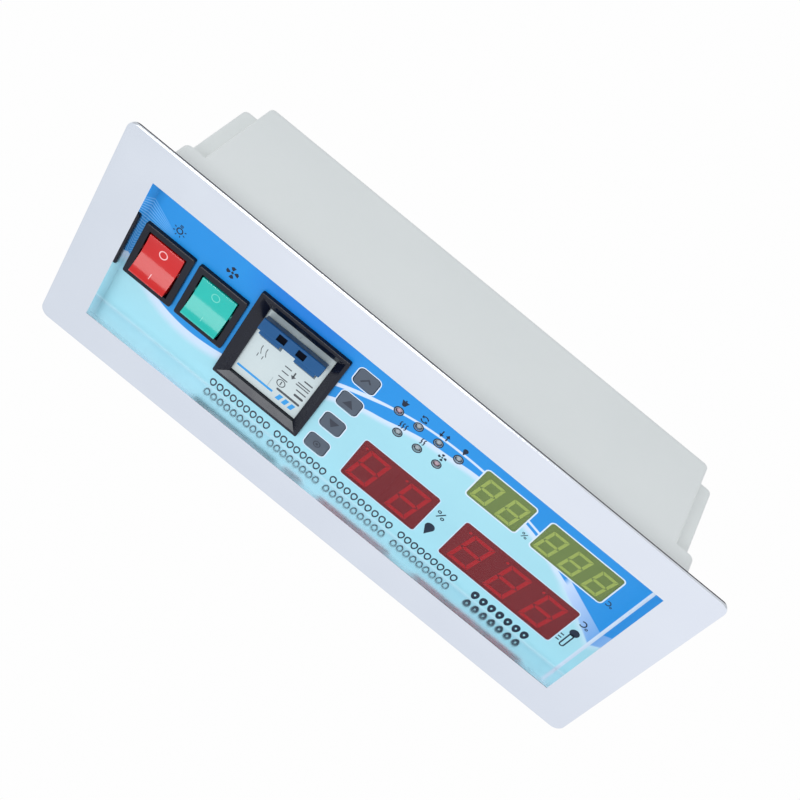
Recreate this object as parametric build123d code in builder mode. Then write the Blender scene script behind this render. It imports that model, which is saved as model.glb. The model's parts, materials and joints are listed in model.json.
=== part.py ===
from build123d import *
import os
from math import cos, radians, sin

# Panel-mount controller of an egg incubator: a chromed front frame with a sunk, printed
# control panel, and a deep white housing behind it that fills a cut-out in the cabinet wall.
# Millimetres. +Z is up, the front faces -Y, +X is to the operator's right, and the origin is
# the centre of the flange's rear face, which seats on the wall.

# ---------------------------------------------------------------- driving dimensions
FLANGE = (300.0, 120.0)        # width and height of the chromed frame
FLANGE_THICKNESS = 3.0
RIM = 1.2                      # the frame's thin outer edge
RIM_WIDTH = 3.5                # how far the edge overhangs the seat pad behind it
FLANGE_CORNER = 5.0
FLANGE_ROUND = 0.9             # rounding of the frame's front rim
RECESS = (260.6, 82.8)         # straight-sided recess in the frame
MOUTH_BREAK = 0.1              # edge break around its mouth
FLOOR_Y = 9.5                  # depth of the printed floor behind the seat
FILM = 0.4                     # printed overlay film
FILM_BACK = FLOOR_Y + FILM
PANEL_BACK = FILM_BACK + 2.6   # rear of the frame's own floor
TUB = (264.0, 86.0)            # outside of the recess tub
TUB_CORNER = 2.0

HOUSING = (270.0, 92.0)        # spigot through the wall cut-out
HOUSING_WALL = 2.5
HOUSING_FRONT = 0.5
STEP_Y = 24.5                  # where the corner notches start
HOUSING_BACK = 84.0
NOTCH = 10.0                   # corner notches that give access to the frame screws
HOUSING_CORNER = 4.0
HOUSING_ROUND = 4.5            # rounding of the rear edges
GROOVE_GAP = 0.8               # groove around the housing in the flange's rear face
GROOVE_DEPTH = 0.8
REAR_WALL = HOUSING_BACK - HOUSING_WALL

BOSS_X, BOSS_Z = 129.0, 40.0   # frame screws, in the corner notches
BOSS_R = 3.25
SCREW_R = 1.45

# printed windows: centre x, centre z, width, height
TEMPERATURE_WINDOW = (-86.4, 18.15, 63.0, 25.7)
HUMIDITY_WINDOW = (-19.85, 18.15, 41.3, 25.7)
TEMPERATURE_SET_WINDOW = (-99.6, -16.05, 38.8, 18.5)
HUMIDITY_SET_WINDOW = (-58.85, -16.05, 26.5, 18.5)
WINDOW_CORNER = 1.5
LARGE_MODULE_HEIGHT = 27.4
SMALL_MODULE_HEIGHT = 19.2
MODULE_FRONT = 10.4
BOARD_FRONT = 20.3             # display board
BOARD = 1.6                    # thickness of both boards
BOARD_BACK = BOARD_FRONT + BOARD

UPPER_LEDS = [(x, -9.2) for x in (-28.25, -17.75, -7.15)]
LOWER_LEDS = [(x, -19.1) for x in (-33.7, -23.0, -12.35, -1.85)]
LEDS = UPPER_LEDS + LOWER_LEDS
LED_R = 1.5

KEY_X = 16.1
KEYS = {"set_key": 26.8, "up_key": 11.3, "down_key": -4.6, "confirm_key": -20.4}
KEY = (10.6, 9.2)
KEY_CORNER = 2.0
KEY_GAP = 0.35
KEY_TRAVEL = 0.4
KEY_STOP = 0.3                 # left between the stem and the switch at full travel
TACT_TOP = 15.8                # top of each push switch's plunger

BREAKER_X, BREAKER_Z = 48.9, 3.1
NOSE = (36.0, 45.0)
NOSE_FRONT = FLOOR_Y + 2.0
SHOULDER_Y = 33.0
BREAKER_HEIGHT = 72.0
RAIL_FRONT = 74.0              # face of the rail's flanges
BREAKER_BACK = 79.0
TRIM = (47.0, 54.0)
TRIM_PROUD = 2.0
TRIM_RIM = 1.75
TRIM_SKIRT = 1.6
TRIM_LIP = (1.0, 1.8)          # how far it covers the nose's right and lower edges
TRIM_LIP_BACK = NOSE_FRONT - 0.5

LEVER_PIVOT_Y, LEVER_PIVOT_Z = 18.0, -6.5
LEVER_TILT = 28.0              # below level when off, above level when on
LEVER_WIDTH = 32.4
LEVER_REACH = 17.5             # pivot to the handle's front face
LEVER_ROOT = 9.8               # pivot to the handle's back
LEVER_THICKNESS = 5.6
ARM_OFFSET = 9.25              # each pole's arm from the breaker's middle
ARM_WIDTH = 10.6
ARM_THICKNESS = 4.0
THUMB = (5.0, 2.4)             # raised thumb ledge over each arm, along and across the handle
THUMB_PLACE = (14.5, -2.9)
DRUM_R = 6.0
LEVER_PIN_R = 1.5

SWITCH_Z = 2.0
SWITCHES = {"fan": 87.3, "light": 115.5}
SWITCH_BEZEL = (26.0, 31.0)
SWITCH_PROUD = 2.0
SWITCH_MOUTH = (19.8, 25.0)
SWITCH_BODY = (22.0, 28.0)
SWITCH_BACK = 31.0
ROCKER_PIVOT_Y = 11.5
ROCKER_TILT = 12.0
ROCKER_WIDTH = 18.2
ROCKER_TIP = (10.55, 6.64)     # half height and reach of the rocker's ends from its pivot
ROCKER_PIN_R = 1.5
PIN_CLEARANCE = 0.06

POWER_BOARD_X = (-125.0, 15.0)
POWER_BOARD_Z = 33.0
POWER_BOARD_BACK = 76.0
POWER_BOARD_FRONT = POWER_BOARD_BACK - BOARD
OUTPUT_BLOCK = (-82.0, 18.0, 60.96)
SENSOR_BLOCK = (-18.0, 18.0, 40.64)
TERMINAL_PITCH = 5.08
TERMINAL_HEIGHT = 10.0
GROMMET_X, GROMMET_Z = 102.0, -18.0
GROMMET_BORE = 4.0
FUSE_X, FUSE_Z = 102.0, 18.0
RAIL_LENGTH = 58.0
RAIL_SCREW_X = 24.5            # rail screws either side of the breaker

os.makedirs("parts", exist_ok=True)


def facing(depth):
    """Plane that faces the operator at this depth: local x is +X and local y is +Z."""
    return Plane(origin=(0, depth, 0), x_dir=(1, 0, 0), z_dir=(0, -1, 0))


def profile(x):
    """Plane across the object at this x: local x is +Y and local y is +Z."""
    return Plane.YZ.offset(x)


# ---------------------------------------------------------------- front frame and panel
DISPLAY_POSTS = [(-100.0, -1.0), (-48.3, 28.5), (6.2, 31.0), (-76.15, -29.5), (6.2, -29.5)]
POST_R = 2.5
FRAME_SCREWS = [(x, z) for x in (-BOSS_X, BOSS_X) for z in (-BOSS_Z, BOSS_Z)]

with BuildPart() as front_bezel:
    with BuildSketch(facing(-FLANGE_THICKNESS)):
        RectangleRounded(*FLANGE, FLANGE_CORNER)
    extrude(amount=-RIM)
    fillet(front_bezel.faces().sort_by(Axis.Y)[0].outer_wire().edges(), FLANGE_ROUND)
    with BuildSketch(facing(RIM - FLANGE_THICKNESS)):
        RectangleRounded(FLANGE[0] - 2 * RIM_WIDTH, FLANGE[1] - 2 * RIM_WIDTH, FLANGE_CORNER)
    extrude(amount=-(FLANGE_THICKNESS - RIM))
    with BuildSketch(facing(-1)):
        RectangleRounded(*TUB, TUB_CORNER)
    extrude(amount=-(PANEL_BACK + 1))
    with BuildSketch(facing(-FLANGE_THICKNESS)):
        Rectangle(*RECESS)
    extrude(amount=-(FLANGE_THICKNESS + FILM_BACK), mode=Mode.SUBTRACT)
    mouth = front_bezel.faces().sort_by(Axis.Y)[0].inner_wires()[0]
    chamfer(mouth.edges(), MOUTH_BREAK)
    # relief around the housing's edge, so that only the outer ring seats on the wall
    with BuildSketch(facing(-GROOVE_DEPTH)):
        RectangleRounded(HOUSING[0] + 2 * GROOVE_GAP, HOUSING[1] + 2 * GROOVE_GAP,
                         HOUSING_CORNER + GROOVE_GAP)
        RectangleRounded(*TUB, TUB_CORNER, mode=Mode.SUBTRACT)
    extrude(amount=-GROOVE_DEPTH, mode=Mode.SUBTRACT)
    # openings behind the four windows, the lamps, the keys, the breaker and the switches
    with BuildSketch(facing(FILM_BACK)):
        for x, z, width, _ in (TEMPERATURE_WINDOW, HUMIDITY_WINDOW):
            with Locations((x, z)):
                Rectangle(width + 2.4, LARGE_MODULE_HEIGHT + 0.6)
        for x, z, width, _ in (TEMPERATURE_SET_WINDOW, HUMIDITY_SET_WINDOW):
            with Locations((x, z)):
                Rectangle(width + 1.4, SMALL_MODULE_HEIGHT + 0.6)
        with Locations(*LEDS):
            Circle(LED_R + 0.2)
        with Locations(*[(KEY_X, z) for z in KEYS.values()]):
            RectangleRounded(KEY[0] + 2 * KEY_GAP, KEY[1] + 2 * KEY_GAP, KEY_CORNER)
        with Locations((BREAKER_X, BREAKER_Z)):
            Rectangle(NOSE[0] + 4.0, NOSE[1] + 4.0)
        with Locations(*[(x, SWITCH_Z) for x in SWITCHES.values()]):
            Rectangle(SWITCH_BODY[0] + 0.4, SWITCH_BODY[1] + 0.4)
    extrude(amount=-4, mode=Mode.SUBTRACT)
    # screw bosses at the corners, and posts for the display board
    with BuildSketch(facing(PANEL_BACK)):
        with Locations(*FRAME_SCREWS):
            Circle(BOSS_R)
    extrude(amount=-(STEP_Y - HOUSING_WALL - PANEL_BACK))
    with BuildSketch(facing(STEP_Y - HOUSING_WALL)):
        with Locations(*FRAME_SCREWS):
            Circle(SCREW_R + 0.05)
    extrude(amount=8, mode=Mode.SUBTRACT)
    with BuildSketch(facing(PANEL_BACK)):
        with Locations(*DISPLAY_POSTS):
            Circle(POST_R)
    extrude(amount=-(BOARD_FRONT - PANEL_BACK))
    with BuildSketch(facing(BOARD_FRONT)):
        with Locations(*DISPLAY_POSTS):
            Circle(1.1)
    extrude(amount=6, mode=Mode.SUBTRACT)
front_bezel.part.label = "front_bezel"
export_step(front_bezel.part, "parts/front_bezel.step")

with BuildPart() as panel_overlay:
    with BuildSketch(facing(FLOOR_Y)):
        Rectangle(RECESS[0] - 0.02, RECESS[1] - 0.02)
        for x, z, width, height in (TEMPERATURE_WINDOW, HUMIDITY_WINDOW,
                                    TEMPERATURE_SET_WINDOW, HUMIDITY_SET_WINDOW):
            with Locations((x, z)):
                RectangleRounded(width, height, WINDOW_CORNER, mode=Mode.SUBTRACT)
        with Locations(*LEDS):
            Circle(LED_R + 0.15, mode=Mode.SUBTRACT)
        with Locations(*[(KEY_X, z) for z in KEYS.values()]):
            RectangleRounded(KEY[0] + 0.6, KEY[1] + 0.6, KEY_CORNER, mode=Mode.SUBTRACT)
        with Locations((BREAKER_X, BREAKER_Z)):
            Rectangle(NOSE[0] + 4.0, NOSE[1] + 4.0, mode=Mode.SUBTRACT)
        with Locations(*[(x, SWITCH_Z) for x in SWITCHES.values()]):
            Rectangle(SWITCH_BODY[0] + 0.4, SWITCH_BODY[1] + 0.4, mode=Mode.SUBTRACT)
    extrude(amount=-FILM)
panel_overlay.part.label = "panel_overlay"
export_step(panel_overlay.part, "parts/panel_overlay.step")

with BuildPart() as red_windows:
    with BuildSketch(facing(FLOOR_Y)):
        for x, z, width, height in (TEMPERATURE_WINDOW, HUMIDITY_WINDOW):
            with Locations((x, z)):
                RectangleRounded(width - 0.02, height - 0.02, WINDOW_CORNER)
    extrude(amount=-FILM)
red_windows.part.label = "red_windows"
export_step(red_windows.part, "parts/red_windows.step")

with BuildPart() as green_windows:
    with BuildSketch(facing(FLOOR_Y)):
        for x, z, width, height in (TEMPERATURE_SET_WINDOW, HUMIDITY_SET_WINDOW):
            with Locations((x, z)):
                RectangleRounded(width - 0.02, height - 0.02, WINDOW_CORNER)
    extrude(amount=-FILM)
green_windows.part.label = "green_windows"
export_step(green_windows.part, "parts/green_windows.step")


# ---------------------------------------------------------------- display electronics
def display_module(x, z, width, height):
    """One digit module: a potted case that stands on the display board behind its window."""
    with BuildPart() as module:
        with BuildSketch(facing(MODULE_FRONT)):
            with Locations((x, z)):
                Rectangle(width, height)
        extrude(amount=-(BOARD_FRONT - MODULE_FRONT))
        chamfer(module.faces().sort_by(Axis.Y)[0].edges(), 0.3)
    return module


x, z, width, _ = TEMPERATURE_WINDOW
temperature_display = display_module(x, z, width + 1.4, LARGE_MODULE_HEIGHT)
temperature_display.part.label = "temperature_display"
export_step(temperature_display.part, "parts/temperature_display.step")

x, z, width, _ = HUMIDITY_WINDOW
humidity_module_width = (width + 1.4) / 2 - 0.05
with BuildPart() as humidity_display:
    with BuildSketch(facing(MODULE_FRONT)):
        for side in (-1, 1):
            with Locations((x + side * (humidity_module_width / 2 + 0.05), z)):
                Rectangle(humidity_module_width, LARGE_MODULE_HEIGHT)
    extrude(amount=-(BOARD_FRONT - MODULE_FRONT))
humidity_display.part.label = "humidity_display"
export_step(humidity_display.part, "parts/humidity_display.step")

x, z, width, _ = TEMPERATURE_SET_WINDOW
temperature_set_display = display_module(x, z, width + 0.6, SMALL_MODULE_HEIGHT)
temperature_set_display.part.label = "temperature_set_display"
export_step(temperature_set_display.part, "parts/temperature_set_display.step")

x, z, width, _ = HUMIDITY_SET_WINDOW
humidity_set_display = display_module(x, z, width + 0.6, SMALL_MODULE_HEIGHT)
humidity_set_display.part.label = "humidity_set_display"
export_step(humidity_set_display.part, "parts/humidity_set_display.step")

LED_TIP = FLOOR_Y + 0.15
with BuildPart() as indicator_leds:
    for x, z in LEDS:
        # dome, barrel and collar turned about the lamp's axis, then its two leads
        with BuildSketch(Plane((x, 0, z), x_dir=(1, 0, 0), z_dir=(0, 0, 1))):
            with BuildLine():
                RadiusArc((0, LED_TIP), (LED_R, LED_TIP + LED_R), -LED_R)
                Polyline((LED_R, LED_TIP + LED_R), (LED_R, 14.4), (LED_R + 0.4, 14.4),
                         (LED_R + 0.4, 15.4), (0, 15.4), (0, LED_TIP))
            make_face()
        revolve(axis=Axis((x, 0, z), (0, 1, 0)))
        with BuildSketch(facing(15.4)):
            with Locations((x - 1.27, z), (x + 1.27, z)):
                Rectangle(0.5, 0.5)
        extrude(amount=-(BOARD_FRONT - 15.4))
indicator_leds.part.label = "indicator_leds"
export_step(indicator_leds.part, "parts/indicator_leds.step")

with BuildPart() as tact_switches:
    for z in KEYS.values():
        with BuildSketch(facing(BOARD_FRONT)):
            with Locations((KEY_X, z)):
                Rectangle(6.0, 6.0)
        extrude(amount=3.5)
        with BuildSketch(facing(TACT_TOP)):
            with Locations((KEY_X, z)):
                Circle(1.75)
        extrude(amount=-(BOARD_FRONT - TACT_TOP - 3.0))
tact_switches.part.label = "tact_switches"
export_step(tact_switches.part, "parts/tact_switches.step")

DISPLAY_BOARD = (-123.0, 22.6, -33.0, 35.0)
with BuildPart() as display_board:
    left, right, bottom, top = DISPLAY_BOARD
    with BuildSketch(facing(BOARD_FRONT)):
        with Locations(((left + right) / 2, (bottom + top) / 2)):
            RectangleRounded(right - left, top - bottom, 2)
        with Locations(*DISPLAY_POSTS):
            Circle(1.4, mode=Mode.SUBTRACT)
    extrude(amount=-BOARD)
display_board.part.label = "display_board"
export_step(display_board.part, "parts/display_board.step")

with BuildPart() as display_board_screws:
    with BuildSketch(facing(BOARD_BACK)):
        with Locations(*DISPLAY_POSTS):
            Circle(2.3)
    extrude(amount=-1.7)
    fillet(display_board_screws.faces().sort_by(Axis.Y)[-len(DISPLAY_POSTS):].edges(), 0.6)
    with BuildSketch(facing(BOARD_BACK)):
        with Locations(*DISPLAY_POSTS):
            Circle(1.05)
    extrude(amount=6.5)
display_board_screws.part.label = "display_board_screws"
export_step(display_board_screws.part, "parts/display_board_screws.step")

# processor and two display drivers on the back of the display board
CHIPS = [(-82.0, 12.0, 37.0, 9.0), (-28.0, 6.0, 24.0, 7.5), (-28.0, -10.0, 24.0, 7.5)]
with BuildPart() as display_chips:
    for x, z, width, height in CHIPS:
        with BuildSketch(facing(BOARD_BACK)):
            with Locations((x, z)):
                Rectangle(width, height)
        extrude(amount=-3.4)
display_chips.part.label = "display_chips"
export_step(display_chips.part, "parts/display_chips.step")


# ---------------------------------------------------------------- keys
def key_cap(z):
    """Flat key: a pad flush in the film, a flange behind the panel and a stem to its switch."""
    with BuildPart() as key:
        with BuildSketch(facing(FLOOR_Y - 0.1)):
            with Locations((KEY_X, z)):
                RectangleRounded(*KEY, KEY_CORNER)
        extrude(amount=-(PANEL_BACK + 0.9 - FLOOR_Y))
        fillet(key.faces().sort_by(Axis.Y)[0].edges(), 0.2)
        with BuildSketch(facing(PANEL_BACK + 0.4)):
            with Locations((KEY_X, z)):
                RectangleRounded(KEY[0] + 1.9, KEY[1] + 1.9, KEY_CORNER)
        extrude(amount=-0.8)
        with BuildSketch(facing(PANEL_BACK + 1.2)):
            with Locations((KEY_X, z)):
                Circle(1.6)
        extrude(amount=-(TACT_TOP - KEY_TRAVEL - KEY_STOP - PANEL_BACK - 1.2))
    return key


for name, z in KEYS.items():
    key = key_cap(z)
    key.part.label = name
    export_step(key.part, f"parts/{name}.step")

# ---------------------------------------------------------------- circuit breaker
WINDOW = (NOSE[0] + 0.4, NOSE[1] + 0.4)
SKIRT = (WINDOW[0] + 2 * TRIM_SKIRT, WINDOW[1] + 2 * TRIM_SKIRT)
OPENING = (WINDOW[0] - TRIM_LIP[0], WINDOW[1] - TRIM_LIP[1])
OPENING_PLACE = (BREAKER_X - TRIM_LIP[0] / 2, BREAKER_Z + TRIM_LIP[1] / 2)
with BuildPart() as breaker_trim:
    with BuildSketch(facing(FLOOR_Y - TRIM_PROUD)):
        with Locations((BREAKER_X, BREAKER_Z)):
            RectangleRounded(*TRIM, 0.8)
    extrude(amount=-TRIM_PROUD)
    fillet(breaker_trim.faces().sort_by(Axis.Y)[0].edges(), 0.4)
    with BuildSketch(facing(FLOOR_Y)):
        with Locations((BREAKER_X, BREAKER_Z)):
            Rectangle(*SKIRT)
    extrude(amount=-7)
    with BuildSketch(facing(FLOOR_Y - TRIM_PROUD)):
        with Locations((BREAKER_X, BREAKER_Z)):
            Rectangle(TRIM[0] - 2 * TRIM_RIM, TRIM[1] - 2 * TRIM_RIM)
    with BuildSketch(facing(FLOOR_Y + 0.3)):
        with Locations(OPENING_PLACE):
            Rectangle(*OPENING)
    loft(mode=Mode.SUBTRACT)
    with BuildSketch(facing(FLOOR_Y)):
        with Locations(OPENING_PLACE):
            Rectangle(*OPENING)
    extrude(amount=-(TRIM_LIP_BACK - FLOOR_Y), mode=Mode.SUBTRACT)
    # room for the nose, behind the lip
    with BuildSketch(facing(TRIM_LIP_BACK)):
        with Locations((BREAKER_X, BREAKER_Z)):
            Rectangle(*WINDOW)
    extrude(amount=-7, mode=Mode.SUBTRACT)
breaker_trim.part.label = "breaker_trim"
export_step(breaker_trim.part, "parts/breaker_trim.step")

TERMINAL_Z = BREAKER_HEIGHT / 2 - 7.0
TERMINALS = [(BREAKER_X + dx, BREAKER_Z + dz) for dx in (-ARM_OFFSET, ARM_OFFSET)
             for dz in (-TERMINAL_Z, TERMINAL_Z)]
with BuildPart() as breaker_body:
    with BuildSketch(facing(NOSE_FRONT)):
        with Locations((BREAKER_X, BREAKER_Z)):
            Rectangle(*NOSE)
    extrude(amount=-(SHOULDER_Y - NOSE_FRONT))
    with BuildSketch(facing(SHOULDER_Y)):
        with Locations((BREAKER_X, BREAKER_Z)):
            Rectangle(NOSE[0], BREAKER_HEIGHT)
    extrude(amount=-(BREAKER_BACK - SHOULDER_Y))
    # slot for the mounting rail, open to the rear
    with BuildSketch(facing(RAIL_FRONT)):
        with Locations((BREAKER_X, BREAKER_Z)):
            Rectangle(NOSE[0] + 2, 35.6)
    extrude(amount=-8, mode=Mode.SUBTRACT)
    # the seam between the two poles, down the nose
    with BuildSketch(facing(NOSE_FRONT)):
        with Locations((BREAKER_X, BREAKER_Z + 14), (BREAKER_X, BREAKER_Z - 19.5)):
            Rectangle(0.3, 6)
    extrude(amount=-0.4, mode=Mode.SUBTRACT)
    # drum chambers with their slots, one for each pole
    for side in (-1, 1):
        arm_x = BREAKER_X + side * ARM_OFFSET
        with BuildSketch(profile(arm_x - ARM_WIDTH / 2 - 0.3)):
            with Locations((LEVER_PIVOT_Y, LEVER_PIVOT_Z)):
                Circle(DRUM_R + 0.4)
                with Locations((-4, 0)):
                    Rectangle(8, 2 * DRUM_R)
        extrude(amount=ARM_WIDTH + 0.6, mode=Mode.SUBTRACT)
    # bore for the lever's pin
    with BuildSketch(profile(BREAKER_X - 16.5)):
        with Locations((LEVER_PIVOT_Y, LEVER_PIVOT_Z)):
            Circle(LEVER_PIN_R + PIN_CLEARANCE)
    extrude(amount=33, mode=Mode.SUBTRACT)
    # terminal screw wells in the shoulders, and wire entries at the ends
    with BuildSketch(facing(SHOULDER_Y)):
        with Locations(*TERMINALS):
            Circle(3.4)
    extrude(amount=-9, mode=Mode.SUBTRACT)
    for end in (-1, 1):
        end_z = BREAKER_Z + end * BREAKER_HEIGHT / 2
        entry_y = end * (SHOULDER_Y + 16)
        with BuildSketch(Plane((0, 0, end_z), x_dir=(1, 0, 0), z_dir=(0, 0, end))):
            with Locations((BREAKER_X - ARM_OFFSET, entry_y), (BREAKER_X + ARM_OFFSET, entry_y)):
                Rectangle(8, 8)
        extrude(amount=-6, mode=Mode.SUBTRACT)
breaker_body.part.label = "breaker_body"
export_step(breaker_body.part, "parts/breaker_body.step")

with BuildPart() as breaker_terminal_screws:
    with BuildSketch(facing(SHOULDER_Y + 4)):
        with Locations(*TERMINALS):
            Circle(3.0)
            Rectangle(4.6, 0.9, mode=Mode.SUBTRACT)
    extrude(amount=-2)
    with BuildSketch(facing(SHOULDER_Y + 5.5)):
        with Locations(*TERMINALS):
            Circle(3.0)
    extrude(amount=-3.5)
breaker_terminal_screws.part.label = "breaker_terminal_screws"
export_step(breaker_terminal_screws.part, "parts/breaker_terminal_screws.step")

# The lever is drawn along its own arm direction, which points forward and down when off.
lever_direction = (-cos(radians(LEVER_TILT)), -sin(radians(LEVER_TILT)))


def along_lever(x):
    """Plane at this x with local x from the pivot towards the handle."""
    y_part, z_part = lever_direction
    return Plane((x, LEVER_PIVOT_Y, LEVER_PIVOT_Z), x_dir=(0, y_part, z_part), z_dir=(1, 0, 0))


with BuildPart() as breaker_lever:
    with BuildSketch(along_lever(BREAKER_X - LEVER_WIDTH / 2)):
        with Locations(((LEVER_ROOT + LEVER_REACH) / 2, 0)):
            RectangleRounded(LEVER_REACH - LEVER_ROOT, LEVER_THICKNESS, 0.8)
    extrude(amount=LEVER_WIDTH)
    for side in (-1, 1):
        arm_x = BREAKER_X + side * ARM_OFFSET
        with BuildSketch(along_lever(arm_x - ARM_WIDTH / 2)):
            with Locations(((LEVER_ROOT + 1) / 2, 0)):
                Rectangle(LEVER_ROOT + 1, ARM_THICKNESS)
            Circle(DRUM_R)
            with Locations(THUMB_PLACE):
                Rectangle(*THUMB)
        extrude(amount=ARM_WIDTH)
        # square socket in the handle's front face
        socket_plane = Plane(
            (arm_x * 0.55 + BREAKER_X * 0.45, LEVER_PIVOT_Y + LEVER_REACH * lever_direction[0],
             LEVER_PIVOT_Z + LEVER_REACH * lever_direction[1]),
            x_dir=(1, 0, 0), z_dir=(0, lever_direction[0], lever_direction[1]))
        with BuildSketch(socket_plane):
            Rectangle(4.4, 3.0)
        extrude(amount=-4, mode=Mode.SUBTRACT)
    with BuildSketch(profile(BREAKER_X - 16)):
        with Locations((LEVER_PIVOT_Y, LEVER_PIVOT_Z)):
            Circle(LEVER_PIN_R)
    extrude(amount=32)
breaker_lever.part.label = "breaker_lever"
export_step(breaker_lever.part, "parts/breaker_lever.step")

# top-hat rail behind the breaker
RAIL_SCREWS = [(BREAKER_X - RAIL_SCREW_X, BREAKER_Z), (BREAKER_X + RAIL_SCREW_X, BREAKER_Z)]
with BuildPart() as mounting_rail:
    with BuildSketch(profile(BREAKER_X - RAIL_LENGTH / 2)):
        with Locations((RAIL_FRONT + 0.5, BREAKER_Z + 15.0), (RAIL_FRONT + 0.5, BREAKER_Z - 15.0)):
            Rectangle(1.0, 5.0)
        with Locations(((RAIL_FRONT + REAR_WALL) / 2, BREAKER_Z + 13.0),
                       ((RAIL_FRONT + REAR_WALL) / 2, BREAKER_Z - 13.0)):
            Rectangle(REAR_WALL - RAIL_FRONT, 1.0)
        with Locations((REAR_WALL - 0.5, BREAKER_Z)):
            Rectangle(1.0, 27.0)
    extrude(amount=RAIL_LENGTH)
    with BuildSketch(facing(REAR_WALL)):
        with Locations(*RAIL_SCREWS):
            Circle(1.95)
    extrude(amount=3, mode=Mode.SUBTRACT)
mounting_rail.part.label = "mounting_rail"
export_step(mounting_rail.part, "parts/mounting_rail.step")

with BuildPart() as rail_screws:
    with BuildSketch(facing(HOUSING_BACK)):
        with Locations(*RAIL_SCREWS):
            Circle(3.6)
    extrude(amount=-2.2)
    fillet(rail_screws.faces().sort_by(Axis.Y)[-2:].edges(), 0.9)
    with BuildSketch(facing(HOUSING_BACK + 2.2)):
        with Locations(*RAIL_SCREWS):
            Rectangle(4.0, 0.9)
            Rectangle(0.9, 4.0)
    extrude(amount=1.2, mode=Mode.SUBTRACT)
    with BuildSketch(facing(HOUSING_BACK)):
        with Locations(*RAIL_SCREWS):
            Circle(1.9)
    extrude(amount=5.5)
rail_screws.part.label = "rail_screws"
export_step(rail_screws.part, "parts/rail_screws.step")


# ---------------------------------------------------------------- rocker switches
def switch_body(x):
    """Black case of a rocker switch, open at the front, with a bezel that rests on the film."""
    with BuildPart() as body:
        with BuildSketch(facing(FLOOR_Y - SWITCH_PROUD)):
            with Locations((x, SWITCH_Z)):
                RectangleRounded(*SWITCH_BEZEL, 1.0)
        extrude(amount=-SWITCH_PROUD)
        fillet(body.faces().sort_by(Axis.Y)[0].edges(), 0.6)
        with BuildSketch(facing(FLOOR_Y)):
            with Locations((x, SWITCH_Z)):
                Rectangle(*SWITCH_BODY)
        extrude(amount=-(SWITCH_BACK - FLOOR_Y))
        with BuildSketch(facing(FLOOR_Y - SWITCH_PROUD)):
            with Locations((x, SWITCH_Z)):
                Rectangle(*SWITCH_MOUTH)
        extrude(amount=-12.5, mode=Mode.SUBTRACT)
        with BuildSketch(profile(x - SWITCH_BODY[0] / 2 - 1)):
            with Locations((ROCKER_PIVOT_Y, SWITCH_Z)):
                Circle(ROCKER_PIN_R + PIN_CLEARANCE)
        extrude(amount=SWITCH_BODY[0] + 2, mode=Mode.SUBTRACT)
    return body


def rocker(x):
    """Hollow-faced rocker at rest: its lower half is pressed in and its upper half stands out."""
    tip_z, tip_reach = ROCKER_TIP
    outwards = (0, -cos(radians(ROCKER_TILT)), -sin(radians(ROCKER_TILT)))
    plane = Plane((x - ROCKER_WIDTH / 2, ROCKER_PIVOT_Y, SWITCH_Z), x_dir=outwards, z_dir=(-1, 0, 0))
    with BuildPart() as paddle:
        with BuildSketch(plane):
            with BuildLine():
                ThreePointArc((tip_reach, -tip_z), (tip_reach - 2.1, 0), (tip_reach, tip_z))
                Polyline((tip_reach, tip_z), (-0.5, tip_z - 0.6), (-3.4, 4), (-3.4, -4),
                         (-0.5, -tip_z + 0.6), (tip_reach, -tip_z))
            make_face()
        extrude(amount=-ROCKER_WIDTH)
        ends = paddle.edges().filter_by(Axis.X).sort_by(Axis.Y)[:2]
        fillet(ends, 0.5)
        with BuildSketch(profile(x - SWITCH_BODY[0] / 2 + 0.2)):
            with Locations((ROCKER_PIVOT_Y, SWITCH_Z)):
                Circle(ROCKER_PIN_R)
        extrude(amount=SWITCH_BODY[0] - 0.4)
    return paddle


for name, x in SWITCHES.items():
    body = switch_body(x)
    body.part.label = f"{name}_switch_body"
    export_step(body.part, f"parts/{name}_switch_body.step")
    paddle = rocker(x)
    paddle.part.label = f"{name}_rocker"
    export_step(paddle.part, f"parts/{name}_rocker.step")

TABS = [(x + dx, SWITCH_Z + dz) for x in SWITCHES.values() for dx in (-5.5, 5.5) for dz in (-8.5, 8.5)]
with BuildPart() as switch_terminals:
    with BuildSketch(facing(SWITCH_BACK)):
        with Locations(*TABS):
            Rectangle(6.3, 0.8)
    extrude(amount=-8.5)
    with BuildSketch(facing(SWITCH_BACK + 5)):
        with Locations(*TABS):
            Rectangle(1.6, 0.8)
    extrude(amount=-1.6, mode=Mode.SUBTRACT)
switch_terminals.part.label = "switch_terminals"
export_step(switch_terminals.part, "parts/switch_terminals.step")

# ---------------------------------------------------------------- power board
BOARD_POSTS = [(POWER_BOARD_X[0] + 4, z) for z in (-28.0, 28.0)]
BOARD_POSTS += [(POWER_BOARD_X[1] - 4, z) for z in (-28.0, 28.0)]
with BuildPart() as power_board:
    with BuildSketch(facing(POWER_BOARD_FRONT)):
        with Locations((sum(POWER_BOARD_X) / 2, 0)):
            RectangleRounded(POWER_BOARD_X[1] - POWER_BOARD_X[0], 2 * POWER_BOARD_Z, 2)
        with Locations(*BOARD_POSTS):
            Circle(1.7, mode=Mode.SUBTRACT)
    extrude(amount=-BOARD)
power_board.part.label = "power_board"
export_step(power_board.part, "parts/power_board.step")

with BuildPart() as power_board_screws:
    with BuildSketch(facing(POWER_BOARD_FRONT)):
        with Locations(*BOARD_POSTS):
            Circle(2.8)
    extrude(amount=2.0)
    fillet(power_board_screws.faces().sort_by(Axis.Y)[:4].edges(), 0.8)
    with BuildSketch(facing(POWER_BOARD_FRONT)):
        with Locations(*BOARD_POSTS):
            Circle(1.4)
    extrude(amount=-6.0)
power_board_screws.part.label = "power_board_screws"
export_step(power_board_screws.part, "parts/power_board_screws.step")

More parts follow.
